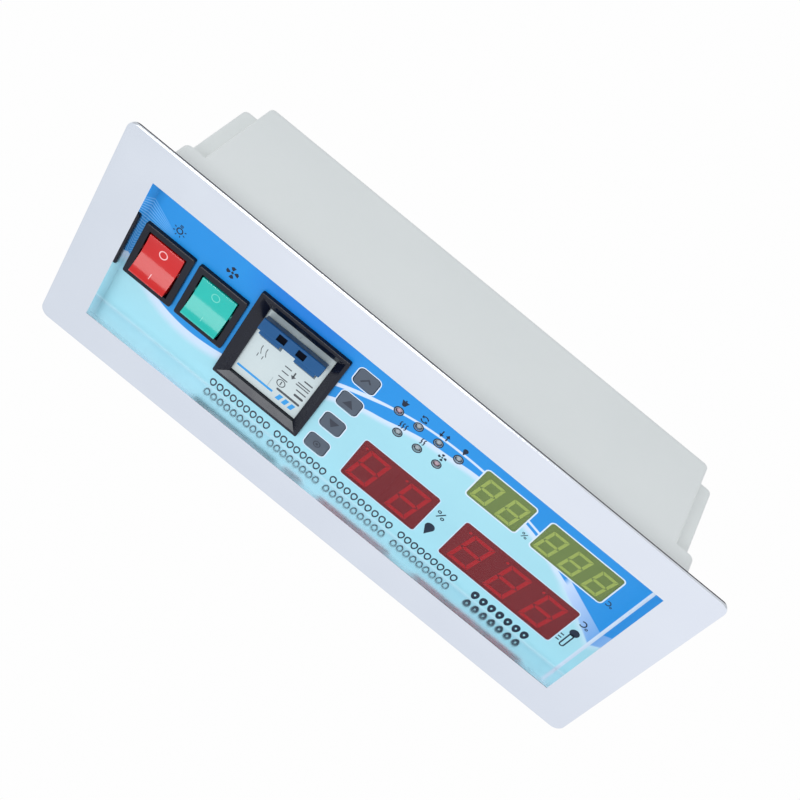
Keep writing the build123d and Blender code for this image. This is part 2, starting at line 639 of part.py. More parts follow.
TRANSFORMER_X, TRANSFORMER_Z = -104.0, -8.0
with BuildPart() as transformer_core:
    with BuildSketch(facing(POWER_BOARD_FRONT - 6)):
        with Locations((TRANSFORMER_X, TRANSFORMER_Z)):
            Rectangle(35, 29.5)
    extrude(amount=17.5)
    with BuildSketch(facing(POWER_BOARD_FRONT - 30)):
        with Locations((TRANSFORMER_X - 8.8, TRANSFORMER_Z), (TRANSFORMER_X + 8.8, TRANSFORMER_Z)):
            Rectangle(5.8, 17.8)
    extrude(amount=-30, mode=Mode.SUBTRACT)
transformer_core.part.label = "transformer_core"
export_step(transformer_core.part, "parts/transformer_core.step")

with BuildPart() as transformer_bobbin:
    with BuildSketch(facing(POWER_BOARD_FRONT)):
        with Locations((TRANSFORMER_X, TRANSFORMER_Z)):
            Rectangle(32, 26)
    extrude(amount=6)
    for side in (-1, 1):
        with BuildSketch(facing(POWER_BOARD_FRONT - 6)):
            with Locations((TRANSFORMER_X + side * 8.8, TRANSFORMER_Z)):
                Rectangle(5.4, 17.4)
        extrude(amount=20)
transformer_bobbin.part.label = "transformer_bobbin"
export_step(transformer_bobbin.part, "parts/transformer_bobbin.step")

RELAYS = [(x, -20.0) for x in (-70.0, -49.0, -28.0, -7.0)]
with BuildPart() as relays:
    with BuildSketch(facing(POWER_BOARD_FRONT)):
        with Locations(*RELAYS):
            Rectangle(15.4, 19.0)
    extrude(amount=15.2)
    fillet(relays.edges().filter_by(Axis.Y), 0.6)
relays.part.label = "relays"
export_step(relays.part, "parts/relays.step")

CAPACITORS = [(-111.0, 17.0, 6.2, 20.0), (-97.0, 17.0, 5.0, 15.0), (-86.0, 17.0, 4.0, 12.0)]
with BuildPart() as capacitors:
    for x, z, radius, height in CAPACITORS:
        with BuildSketch(facing(POWER_BOARD_FRONT)):
            with Locations((x, z)):
                Circle(radius)
        extrude(amount=height)
    tops = capacitors.faces().filter_by(Axis.Y).sort_by(Axis.Y)[:len(CAPACITORS)]
    fillet(tops.edges(), 0.7)
capacitors.part.label = "capacitors"
export_step(capacitors.part, "parts/capacitors.step")

with BuildPart() as buzzer:
    with BuildSketch(facing(POWER_BOARD_FRONT)):
        with Locations((-4.0, 12.0)):
            Circle(6.0)
    extrude(amount=9.5)
    with BuildSketch(facing(POWER_BOARD_FRONT - 9.5)):
        with Locations((-4.0, 12.0)):
            Circle(1.2)
    extrude(amount=-3, mode=Mode.SUBTRACT)
buzzer.part.label = "buzzer"
export_step(buzzer.part, "parts/buzzer.step")

with BuildPart() as regulator_heatsink:
    with BuildSketch(facing(POWER_BOARD_FRONT)):
        with Locations((-24.0, 10.0)):
            Rectangle(16, 1.6)
        with Locations(*[(-24.0 + dx, 13.4) for dx in (-7.2, -3.6, 0, 3.6, 7.2)]):
            Rectangle(1.2, 7.0)
    extrude(amount=18)
regulator_heatsink.part.label = "regulator_heatsink"
export_step(regulator_heatsink.part, "parts/regulator_heatsink.step")


def terminal_block(x, z, length):
    """Row of screw terminals on the rear of the power board, facing out of the rear wall."""
    count = round(length / TERMINAL_PITCH)
    first = x - length / 2 + TERMINAL_PITCH / 2
    poles = [first + i * TERMINAL_PITCH for i in range(count)]
    depth = HOUSING_BACK - POWER_BOARD_BACK - 0.2
    with BuildPart() as block:
        with BuildSketch(facing(POWER_BOARD_BACK)):
            with Locations((x, z)):
                Rectangle(length, TERMINAL_HEIGHT)
        extrude(amount=-depth)
        with BuildSketch(facing(POWER_BOARD_BACK + depth)):
            with Locations(*[(pole, z + 2.2) for pole in poles]):
                Circle(1.75)
        extrude(amount=2.2, mode=Mode.SUBTRACT)
        with BuildSketch(facing(POWER_BOARD_BACK + depth)):
            with Locations(*[(pole, z - 2.6) for pole in poles]):
                Rectangle(3.2, 2.8)
        extrude(amount=5, mode=Mode.SUBTRACT)
    with BuildPart() as screws:
        with BuildSketch(facing(POWER_BOARD_BACK + depth - 2.2)):
            with Locations(*[(pole, z + 2.2) for pole in poles]):
                Circle(1.6)
                Rectangle(2.4, 0.6, mode=Mode.SUBTRACT)
        extrude(amount=-1.2)
    return block, screws


BLOCKS = {"output_terminals": OUTPUT_BLOCK, "sensor_terminals": SENSOR_BLOCK}
for name, (x, z, length) in BLOCKS.items():
    block, screws = terminal_block(x, z, length)
    block.part.label = name
    export_step(block.part, f"parts/{name}.step")
    screws.part.label = f"{name}_screws"
    export_step(screws.part, f"parts/{name}_screws.step")

# headers at both ends of the flat cable between the boards
CABLE_X = -60.0
CABLE_WIDTH = 25.4
CABLE_LOW, CABLE_HIGH = -20.0, 26.5
with BuildPart() as cable_headers:
    with BuildSketch(facing(BOARD_BACK)):
        with Locations((CABLE_X, CABLE_LOW)):
            Rectangle(CABLE_WIDTH + 5, 8.8)
    extrude(amount=-8.5)
    with BuildSketch(facing(POWER_BOARD_FRONT)):
        with Locations((CABLE_X, CABLE_HIGH)):
            Rectangle(CABLE_WIDTH + 5, 8.8)
    extrude(amount=8.5)
cable_headers.part.label = "cable_headers"
export_step(cable_headers.part, "parts/cable_headers.step")

CABLE_THICKNESS = 0.9
CABLE_START = BOARD_BACK + 8.5
CABLE_END = POWER_BOARD_FRONT - 8.5
with BuildPart() as ribbon_cable:
    with BuildSketch(profile(CABLE_X - CABLE_WIDTH / 2)):
        with BuildLine() as route:
            FilletPolyline((CABLE_START, CABLE_LOW), (CABLE_START + 7, CABLE_LOW), (CABLE_START + 11, 4.0),
                           (CABLE_END - 9, 12.0), (CABLE_END - 6, CABLE_HIGH), (CABLE_END, CABLE_HIGH),
                           radius=3.0)
        trace(line_width=CABLE_THICKNESS)
    extrude(amount=CABLE_WIDTH)
ribbon_cable.part.label = "ribbon_cable"
export_step(ribbon_cable.part, "parts/ribbon_cable.step")

# ---------------------------------------------------------------- rear housing
WIDE = (HOUSING[0], HOUSING[1] - 2 * NOTCH)
TALL = (HOUSING[0] - 2 * NOTCH, HOUSING[1])
RIM = 2 * HOUSING_WALL
VENTS = [(x, -10.0) for x in range(-112, 9, 8)]

with BuildPart() as rear_housing:
    with BuildSketch(facing(STEP_Y)):
        Rectangle(*WIDE)
        Rectangle(*TALL)
    extrude(amount=-(HOUSING_BACK - STEP_Y))
    fillet(rear_housing.edges().filter_by(Axis.Y), 1.5)
    fillet(rear_housing.faces().sort_by(Axis.Y)[-1].edges(), HOUSING_ROUND)
    with BuildSketch(facing(HOUSING_FRONT)):
        RectangleRounded(*HOUSING, HOUSING_CORNER)
    extrude(amount=-(STEP_Y - HOUSING_FRONT))
    with BuildSketch(facing(HOUSING_FRONT)):
        RectangleRounded(HOUSING[0] - RIM, HOUSING[1] - RIM, HOUSING_CORNER - HOUSING_WALL)
    extrude(amount=-(STEP_Y - HOUSING_WALL - HOUSING_FRONT), mode=Mode.SUBTRACT)
    with BuildSketch(facing(STEP_Y - HOUSING_WALL)):
        Rectangle(WIDE[0] - RIM, WIDE[1] - RIM)
        Rectangle(TALL[0] - RIM, TALL[1] - RIM)
    extrude(amount=-(REAR_WALL - STEP_Y + HOUSING_WALL), mode=Mode.SUBTRACT)
    # posts for the power board, with their screw holes
    with BuildSketch(facing(REAR_WALL)):
        with Locations(*BOARD_POSTS):
            Circle(3.2)
    extrude(amount=REAR_WALL - POWER_BOARD_BACK)
    with BuildSketch(facing(POWER_BOARD_BACK)):
        with Locations(*BOARD_POSTS):
            Circle(1.45)
    extrude(amount=-6.5, mode=Mode.SUBTRACT)
    # clearance holes for the frame screws, in the floors of the notches
    with BuildSketch(facing(STEP_Y)):
        with Locations(*FRAME_SCREWS):
            Circle(SCREW_R + 0.25)
    extrude(amount=HOUSING_WALL + 1, mode=Mode.SUBTRACT)
    # rear wall: terminal openings, cable hole, fuse hole, rail screws and vents
    with BuildSketch(facing(HOUSING_BACK)):
        for x, z, length in BLOCKS.values():
            with Locations((x, z)):
                Rectangle(length + 1, TERMINAL_HEIGHT + 1)
        with Locations((GROMMET_X, GROMMET_Z)):
            Circle(7.0)
        with Locations((FUSE_X, FUSE_Z)):
            Circle(6.1)
        with Locations(*RAIL_SCREWS):
            Circle(2.1)
        with Locations(*VENTS):
            SlotOverall(24, 2.4, rotation=90)
    extrude(amount=HOUSING_WALL + 1, mode=Mode.SUBTRACT)
rear_housing.part.label = "rear_housing"
export_step(rear_housing.part, "parts/rear_housing.step")

with BuildPart() as frame_screws:
    with BuildSketch(facing(STEP_Y)):
        with Locations(*FRAME_SCREWS):
            Circle(2.75)
    extrude(amount=-2.2)
    fillet(frame_screws.faces().sort_by(Axis.Y)[-4:].edges(), 0.8)
    with BuildSketch(facing(STEP_Y + 2.2)):
        with Locations(*FRAME_SCREWS):
            Rectangle(3.2, 0.7)
            Rectangle(0.7, 3.2)
    extrude(amount=1.2, mode=Mode.SUBTRACT)
    with BuildSketch(facing(STEP_Y)):
        with Locations(*FRAME_SCREWS):
            Circle(SCREW_R)
    extrude(amount=9.5)
frame_screws.part.label = "frame_screws"
export_step(frame_screws.part, "parts/frame_screws.step")

# rubber grommet: turned section with a groove that holds the rear wall
with BuildPart() as mains_grommet:
    with BuildSketch(Plane((GROMMET_X, 0, GROMMET_Z), x_dir=(1, 0, 0), z_dir=(0, 0, 1))):
        with BuildLine():
            Polyline((GROMMET_BORE, REAR_WALL - 1.8), (8.6, REAR_WALL - 1.8), (8.6, REAR_WALL),
                     (7.0, REAR_WALL), (7.0, HOUSING_BACK), (8.6, HOUSING_BACK),
                     (8.0, HOUSING_BACK + 1.8), (GROMMET_BORE, HOUSING_BACK + 1.8), close=True)
        make_face()
    revolve(axis=Axis((GROMMET_X, 0, GROMMET_Z), (0, 1, 0)))
mains_grommet.part.label = "mains_grommet"
export_step(mains_grommet.part, "parts/mains_grommet.step")

with BuildPart() as fuse_holder:
    with BuildSketch(facing(HOUSING_BACK)):
        with Locations((FUSE_X, FUSE_Z)):
            Circle(7.6)
    extrude(amount=-1.6)
    with BuildSketch(facing(HOUSING_BACK)):
        with Locations((FUSE_X, FUSE_Z)):
            Circle(6.0)
    extrude(amount=28)
    with BuildSketch(facing(HOUSING_BACK + 1.6)):
        with Locations((FUSE_X, FUSE_Z)):
            Circle(4.4)
    extrude(amount=24, mode=Mode.SUBTRACT)
fuse_holder.part.label = "fuse_holder"
export_step(fuse_holder.part, "parts/fuse_holder.step")

with BuildPart() as fuse_cap:
    with BuildSketch(facing(HOUSING_BACK + 1.6)):
        with Locations((FUSE_X, FUSE_Z)):
            Circle(5.6)
    extrude(amount=-2.4)
    fillet(fuse_cap.faces().sort_by(Axis.Y)[-1].edges(), 0.5)
    with BuildSketch(facing(HOUSING_BACK + 4.0)):
        with Locations((FUSE_X, FUSE_Z)):
            Rectangle(7.5, 1.2)
    extrude(amount=1.5, mode=Mode.SUBTRACT)
    with BuildSketch(facing(HOUSING_BACK + 1.6)):
        with Locations((FUSE_X, FUSE_Z)):
            Circle(4.3)
    extrude(amount=4)
fuse_cap.part.label = "fuse_cap"
export_step(fuse_cap.part, "parts/fuse_cap.step")

with BuildPart() as fuse:
    with BuildSketch(facing(HOUSING_BACK - 2.4)):
        with Locations((FUSE_X, FUSE_Z)):
            Circle(2.5)
    extrude(amount=19.5)
fuse.part.label = "fuse"
export_step(fuse.part, "parts/fuse.step")
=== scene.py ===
import json
from math import cos, pi, radians, sin, sqrt

import bmesh
import bpy
from mathutils import Matrix, Vector


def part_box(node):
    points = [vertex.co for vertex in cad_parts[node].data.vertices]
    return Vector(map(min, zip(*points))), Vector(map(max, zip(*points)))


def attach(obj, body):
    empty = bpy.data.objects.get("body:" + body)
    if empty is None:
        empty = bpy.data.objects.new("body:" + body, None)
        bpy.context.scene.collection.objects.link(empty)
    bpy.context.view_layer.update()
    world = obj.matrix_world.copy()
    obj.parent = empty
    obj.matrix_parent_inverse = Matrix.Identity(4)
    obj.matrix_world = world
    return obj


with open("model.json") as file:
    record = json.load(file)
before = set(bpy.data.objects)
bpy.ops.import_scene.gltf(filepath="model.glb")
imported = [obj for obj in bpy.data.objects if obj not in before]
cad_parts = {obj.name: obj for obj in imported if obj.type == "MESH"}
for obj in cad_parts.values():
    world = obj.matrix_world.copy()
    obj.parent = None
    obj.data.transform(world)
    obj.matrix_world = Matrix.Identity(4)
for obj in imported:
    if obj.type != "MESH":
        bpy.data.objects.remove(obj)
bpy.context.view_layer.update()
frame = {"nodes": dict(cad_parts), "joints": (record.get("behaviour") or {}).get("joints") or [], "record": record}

# Panel-mount incubator controller. Lengths are millimetres in the frame's own axes (+X to the
# operator's right, front towards -Y, +Z up), and MM turns them into metres. The floor, the lights
# and the camera, at the end, are in metres.
MM = 0.001


def corners(node):
    """Lowest and highest corner of a CAD node, in mm."""
    low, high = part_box(node)
    return low / MM, high / MM


def middle(node):
    low, high = corners(node)
    return (low + high) / 2


FILM_FRONT = corners("panel_overlay")[0].y
KEY_FRONT = corners("up_key")[0].y
NOSE_FRONT = corners("breaker_body")[0].y
MODULE_FRONT = corners("temperature_display")[0].y
JOINTS = {joint["name"]: joint for joint in frame["joints"]}
RECESS_TOP = 41.4               # height of the recess's top wall
FLANGE_FOOT = -59.0             # below this, what faces down is the flange's underside
FILM_LEFT = -129.6              # to the left of this the film is painted pale, as a highlight
CORE_PITCH = 1.27               # of the flat cable
INK = 0.03                      # how far a printed mark stands proud of its surface
BED = 0.06                      # how far it reaches into the surface

# ---------------------------------------------------------------- materials


def srgb(red, green, blue):
    """Linear colour of an 8-bit display colour."""
    linear = []
    for value in (red / 255, green / 255, blue / 255):
        linear.append(value / 12.92 if value <= 0.04045 else ((value + 0.055) / 1.055) ** 2.4)
    return (*linear, 1.0)


class Graph:
    """A material's node tree, with short calls for the nodes that the finishes share."""

    def __init__(self, name):
        self.material = bpy.data.materials.new(name)
        self.material.use_nodes = True
        self.tree = self.material.node_tree
        self.shader = self.tree.nodes["Principled BSDF"]
        self.place = self.tree.nodes.new("ShaderNodeTexCoord").outputs["Object"]

    def feed(self, socket, value):
        """Links a socket, or sets a plain number or colour."""
        if isinstance(value, bpy.types.NodeSocket):
            self.tree.links.new(value, socket)
        else:
            socket.default_value = value

    def set(self, **values):
        """Feeds the shader's sockets: base_color=... feeds Base Color."""
        for name, value in values.items():
            title = name.replace("_", " ").title().replace("Ior", "IOR")
            self.feed(self.shader.inputs[title], value)

    def noise(self, scale, detail=2.0, stretch=(1, 1, 1)):
        mapping = self.tree.nodes.new("ShaderNodeMapping")
        mapping.inputs["Scale"].default_value = stretch
        self.feed(mapping.inputs["Vector"], self.place)
        texture = self.tree.nodes.new("ShaderNodeTexNoise")
        texture.inputs["Scale"].default_value = scale
        texture.inputs["Detail"].default_value = detail
        self.feed(texture.inputs["Vector"], mapping.outputs["Vector"])
        return texture.outputs["Fac"]

    def cells(self, scale):
        texture = self.tree.nodes.new("ShaderNodeTexVoronoi")
        texture.inputs["Scale"].default_value = scale
        self.feed(texture.inputs["Vector"], self.place)
        return texture.outputs["Distance"]

    def mix(self, factor, first, second):
        node = self.tree.nodes.new("ShaderNodeMix")
        node.data_type = "RGBA"
        # the node's colours are its sockets 6 and 7, and come out of its output 2
        self.feed(node.inputs[0], factor)
        self.feed(node.inputs[6], first)
        self.feed(node.inputs[7], second)
        return node.outputs[2]

    def ramp(self, value, start, end, low=0.0, high=1.0, smooth=False):
        """Carries value from start..end to low..high, clamped."""
        node = self.tree.nodes.new("ShaderNodeMapRange")
        node.interpolation_type = "SMOOTHSTEP" if smooth else "LINEAR"
        for socket, number in zip(node.inputs, (value, start, end, low, high)):
            self.feed(socket, number)
        return node.outputs["Result"]

    def math(self, operation, first, second=0.0):
        node = self.tree.nodes.new("ShaderNodeMath")
        node.operation = operation
        self.feed(node.inputs[0], first)
        self.feed(node.inputs[1], second)
        return node.outputs[0]

    def axes(self):
        """The place as x, y and z in mm."""
        node = self.tree.nodes.new("ShaderNodeSeparateXYZ")
        self.feed(node.inputs[0], self.place)
        return [self.math("MULTIPLY", output, 1 / MM) for output in node.outputs]

    def bump(self, height, strength, depth=0.02):
        node = self.tree.nodes.new("ShaderNodeBump")
        node.inputs["Strength"].default_value = strength
        node.inputs["Distance"].default_value = depth * MM
        self.feed(node.inputs["Height"], height)
        self.feed(self.shader.inputs["Normal"], node.outputs["Normal"])

    def curve(self, value, points):
        """A smooth line through (x, z) points in mm, as z for the x that comes in."""
        across, along = (-135.0, 135.0), (-45.0, 45.0)     # reach of the curves in x and in z
        node = self.tree.nodes.new("ShaderNodeFloatCurve")
        line = node.mapping.curves[0]
        scaled = [((x - across[0]) / (across[1] - across[0]), (z - along[0]) / (along[1] - along[0]))
                  for x, z in points]
        line.points[0].location = scaled[0]
        line.points[1].location = scaled[-1]
        for spot in scaled[1:-1]:
            line.points.new(*spot)
        node.mapping.update()
        self.feed(node.inputs["Value"], self.ramp(value, *across))
        return self.ramp(node.outputs[0], 0.0, 1.0, *along)


def surface(name, color, tone, patch=45.0, grain=2200.0, roughness=(0.3, 0.45), relief=0.1,
            metallic=0.0, coat=0.0, specular=0.5):
    """Plain finish: two close tones in soft patches, uneven gloss and a fine moulded grain."""
    graph = Graph(name)
    patches = graph.noise(patch, 4.0)
    graph.set(base_color=graph.mix(patches, color, tone), metallic=metallic, coat_weight=coat,
              coat_roughness=0.1, specular_ior_level=specular,
              roughness=graph.ramp(patches, 0.3, 0.7, *roughness))
    graph.bump(graph.noise(grain, 3.0), relief)
    return graph.material


def chrome():
    """Bright plating on moulded plastic: a faint ripple, uneven gloss, sharper side walls, a satin
    back, and painted shade that darkens two edges, under the flange and over the recess."""
    graph = Graph("chrome_plating")
    patches = graph.noise(30.0, 3.0)
    plating = graph.mix(patches, (0.86, 0.88, 0.91, 1), (0.90, 0.92, 0.94, 1))
    turn = graph.tree.nodes.new("ShaderNodeSeparateXYZ")
    graph.feed(turn.inputs[0], graph.tree.nodes.new("ShaderNodeTexCoord").outputs["Normal"])
    _, y, z = graph.axes()
    # how far the surface faces right, back and up, from -1 to 1
    sideways, rearwards, upwards = turn.outputs
    back = graph.ramp(rearwards, 0.5, 0.9)
    plating = graph.mix(back, plating, (0.50, 0.51, 0.53, 1))
    facing_down = graph.ramp(upwards, -0.9, -0.98)
    # painted shade: the flange's underside darkens near its foot, where the housing lies in its shadow
    underside_shade = graph.math("MULTIPLY", facing_down, graph.ramp(z, FLANGE_FOOT + 1, FLANGE_FOOT))
    # painted shade on the broken edge over the recess, between its top wall and the flange's face
    slanting = graph.math("MULTIPLY", graph.ramp(upwards, -0.4, -0.6), graph.ramp(upwards, -0.95, -0.8))
    at_mouth = graph.math("MULTIPLY", graph.ramp(z, RECESS_TOP - 0.1, RECESS_TOP),
                          graph.ramp(z, RECESS_TOP + 0.2, RECESS_TOP + 0.1))
    # both darkened edges are painted shade
    painted_shade = graph.math("MAXIMUM", underside_shade, graph.math("MULTIPLY", slanting, at_mouth))
    side_wall = graph.math("ABSOLUTE", sideways)
    shine = graph.math("MULTIPLY", graph.ramp(patches, 0.3, 0.7, 0.15, 0.20),
                       graph.ramp(side_wall, 0.5, 0.9, 1.0, 0.35))
    # the recess's top wall blurs towards its mouth
    blur = graph.math("MULTIPLY", facing_down, graph.ramp(y, 0.5, -2.0))
    shine = graph.math("MULTIPLY", shine, graph.math("ADD", blur, 1.0))
    graph.set(base_color=graph.mix(painted_shade, plating, (0.10, 0.09, 0.10, 1)), metallic=1.0,
              roughness=graph.math("MAXIMUM", shine, graph.math("MULTIPLY", back, 0.42)))
    graph.bump(graph.noise(55.0, 1.5), 0.25, 0.03)
    return graph.material


# outlines of the printed swooshes, as (x, z)
STRIPE_TOP = [(-130, 6), (-103, -3.4), (-90, -9.2), (-79, -13.5), (-72, -15.3), (-60, -18.2), (-45, -19.0),
              (-30, -17.4), (-20, -16.3), (-10, -13.8), (0, -10.4), (10, -7.7), (22, -2.2), (32, 4),
              (52, 15), (73, 20.6), (82, 22.1), (91, 22.6), (100, 21.6), (108, 19.4), (119, 14.2),
              (130, 8.5)]
WHITE_LINE = [(-130, 7.6), (-106, -4.5), (-92, -11.5), (-79, -15.8), (-72, -17.5), (-60, -21.4),
              (-45, -22.8), (-30, -22.9), (-20, -22.2), (-10, -20.7), (0, -18.2), (10, -14.9),
              (17, -12.3), (26, -8.2), (35, -2), (45, 5), (60, 10), (85, 10), (130, 0)]
RIBBON_TOP = [(-130, 16.8), (-118, 8.2), (-106, 0.6), (-95, -6.5), (-80, -12)]


def printed_film():
    """The panel's print: cyan sky over blue swooshes with pale edges and a white line, with painted highlights
    along the film's top and left edges.
    """
    graph = Graph("printed_overlay")
    x, _, z = graph.axes()

    def below(line, shift=0.0, soft=0.22):
        """1 under a line moved up by shift, 0 over it."""
        gap = graph.math("SUBTRACT", graph.math("ADD", line, shift), z)
        return graph.ramp(gap, -soft, soft, smooth=True)

    stripe_top = graph.curve(x, STRIPE_TOP)
    white_line = graph.curve(x, WHITE_LINE)
    ribbon_top = graph.curve(x, RIBBON_TOP)
    cloud = graph.noise(18.0, 3.0, (1, 1, 1.6))
    sky = graph.mix(cloud, srgb(149, 201, 213), srgb(160, 210, 219))
    sky = graph.mix(graph.ramp(z, 18, 42), sky, srgb(156, 212, 224))
    # pale glow over the edge of the blue, wider over the right-hand arch
    reach = graph.ramp(x, 20, 80, 4.2, 7.5)
    height = graph.math("SUBTRACT", z, stripe_top)
    glow = graph.math("SUBTRACT", 1.0, graph.math("DIVIDE", height, reach))
    glow = graph.ramp(glow, 0.0, 0.75, smooth=True)
    glow = graph.math("MULTIPLY", glow, graph.ramp(x, -112, -96))
    color = graph.mix(graph.math("MULTIPLY", glow, 0.85), sky, srgb(202, 214, 232))
    # ribbon at the left end, mid blue that pales to the right
    near_left = graph.ramp(x, -92, -104)
    glow_left = graph.math("MULTIPLY", below(ribbon_top, 2.5, 2.6), near_left)
    color = graph.mix(graph.math("MULTIPLY", glow_left, 0.5), color, srgb(200, 216, 232))
    pale = graph.ramp(x, -130, -100)
    ribbon = graph.mix(pale, srgb(104, 158, 214), srgb(192, 208, 232))
    in_ribbon = graph.math("MULTIPLY", below(ribbon_top, 0.0, 0.9), graph.ramp(x, -95, -108))
    color = graph.mix(in_ribbon, color, ribbon)
    # blue: the stripe between the pale edge and the white line, and everything under the line
    blue = graph.mix(graph.noise(26.0, 2.0), srgb(18, 130, 203), srgb(28, 139, 211))
    deep = graph.math("MULTIPLY", graph.ramp(x, 18, 40), graph.ramp(x, 84, 66))
    blue = graph.mix(graph.math("MULTIPLY", deep, graph.ramp(z, -10, -26)), blue, srgb(14, 118, 202))
    in_stripe = graph.math("MULTIPLY", below(stripe_top), graph.ramp(x, -104.5, -101.5))
    color = graph.mix(in_stripe, color, blue)
    half = graph.ramp(x, -2, 14, 0.6, 1.15)
    in_line = graph.math("MULTIPLY", below(graph.math("ADD", white_line, half)), graph.ramp(x, 33, 27))
    in_line = graph.math("MULTIPLY", in_line, graph.ramp(x, -104, -100))
    color = graph.mix(in_line, color, srgb(200, 214, 234))
    under_line = below(graph.math("SUBTRACT", white_line, half))
    color = graph.mix(under_line, color, blue)
    # fan of fine pale rays at the right end, by their slope from one point
    fan_x, fan_z = 110.0, -13.0
    slope = graph.math("DIVIDE", graph.math("SUBTRACT", z, fan_z), graph.math("SUBTRACT", x, fan_x))
    rays = graph.math("PINGPONG", graph.math("MULTIPLY", slope, 26.0), 1.0)
    rays = graph.math("MULTIPLY", graph.ramp(rays, 0.45, 0.75), graph.ramp(x, 115, 121))
    rays = graph.math("MULTIPLY", rays, graph.math("MULTIPLY", graph.ramp(slope, -0.62, -0.56),
                                                   graph.ramp(slope, 1.8, 1.5)))
    color = graph.mix(graph.math("MULTIPLY", rays, 0.45), color, srgb(150, 205, 248))
    # painted highlight: the film pales towards its top edge, under the recess's top wall
    painted_edge_highlight = graph.ramp(z, RECESS_TOP - 1.6, RECESS_TOP - 0.1, 0.0, 0.45)
    color = graph.mix(painted_edge_highlight, color, srgb(206, 236, 244))
    # painted highlight: a pale strip at the film's left end, beside the recess's side wall
    color = graph.mix(graph.ramp(x, FILM_LEFT + 0.3, FILM_LEFT), color, srgb(196, 210, 224))
    graph.set(base_color=color, roughness=graph.ramp(graph.noise(70.0), 0.3, 0.7, 0.34, 0.44),
              specular_ior_level=0.35)
    graph.bump(graph.noise(1800.0, 2.0), 0.08, 0.01)
    return graph.material


def tinted(name, dark, light, alpha):
    """Tinted window film that lets the digits behind it show."""
    graph = Graph(name)
    graph.set(base_color=graph.mix(graph.noise(40.0, 3.0), dark, light), alpha=alpha,
              roughness=graph.ramp(graph.noise(90.0), 0.3, 0.7, 0.22, 0.32), specular_ior_level=0.15)
    graph.bump(graph.noise(900.0), 0.05, 0.01)
    return graph.material


def lamp_epoxy():
    """Clear-grey epoxy lamps. The two red ones, at the ends of the rows, are faintly pink."""
    graph = Graph("lamp_epoxy")
    x, _, _ = graph.axes()
    ends = graph.math("MAXIMUM", graph.ramp(x, -4.5, -4.0), graph.math(
        "MULTIPLY", graph.ramp(x, -31.0, -30.5), graph.ramp(x, -25.5, -26.0)))
    grey = graph.mix(graph.noise(600.0), srgb(142, 152, 156), srgb(164, 170, 172))
    pink = graph.mix(graph.noise(600.0), srgb(164, 140, 148), srgb(180, 152, 160))
    graph.set(base_color=graph.mix(ends, grey, pink), coat_weight=0.2, coat_roughness=0.2,
              roughness=graph.ramp(graph.noise(300.0), 0.3, 0.7, 0.45, 0.55))
    return graph.material


def circuit_board():
    """Green solder mask with paler tracks and a fine weave under it."""
    graph = Graph("circuit_board")
    x, _, z = graph.axes()
    wandering = graph.math("ADD", z, graph.math("MULTIPLY", graph.cells(90.0), 4.0))
    lanes = graph.math("PINGPONG", wandering, 1.1)
    tracks = graph.ramp(lanes, 0.75, 0.85)
    mask = graph.mix(graph.noise(120.0), srgb(12, 82, 48), srgb(20, 98, 58))
    graph.set(base_color=graph.mix(tracks, mask, srgb(34, 128, 74)), coat_weight=0.3,
              roughness=graph.ramp(graph.noise(200.0), 0.3, 0.7, 0.3, 0.42))
    graph.bump(tracks, 0.3, 0.03)
    return graph.material


def laminated():
    """Stacked transformer plates, as fine lines across the core."""
    graph = Graph("core_laminations")
    _, y, _ = graph.axes()
    plates = graph.math("PINGPONG", graph.math("MULTIPLY", y, 2.0), 1.0)
    graph.set(base_color=graph.mix(plates, srgb(70, 72, 76), srgb(122, 124, 128)), metallic=0.7,
              roughness=graph.ramp(graph.noise(300.0), 0.3, 0.7, 0.4, 0.55))
    graph.bump(plates, 0.4, 0.05)
    return graph.material


def ribbed_cable():
    """Flat cable: parallel cores, with one edge core red."""
    graph = Graph("flat_cable")
    x, _, _ = graph.axes()
    left = corners("ribbon_cable")[0].x
    cores = graph.math("PINGPONG", graph.math("SUBTRACT", x, left), CORE_PITCH / 2)
    grey = graph.mix(graph.noise(200.0), srgb(150, 152, 156), srgb(172, 174, 176))
    color = graph.mix(graph.ramp(x, left + 1.35, left + 1.2), grey, srgb(178, 40, 40))
    graph.set(base_color=color, roughness=graph.ramp(graph.noise(150.0), 0.3, 0.7, 0.4, 0.5))
    graph.bump(cores, 0.6, 0.2)
    return graph.material


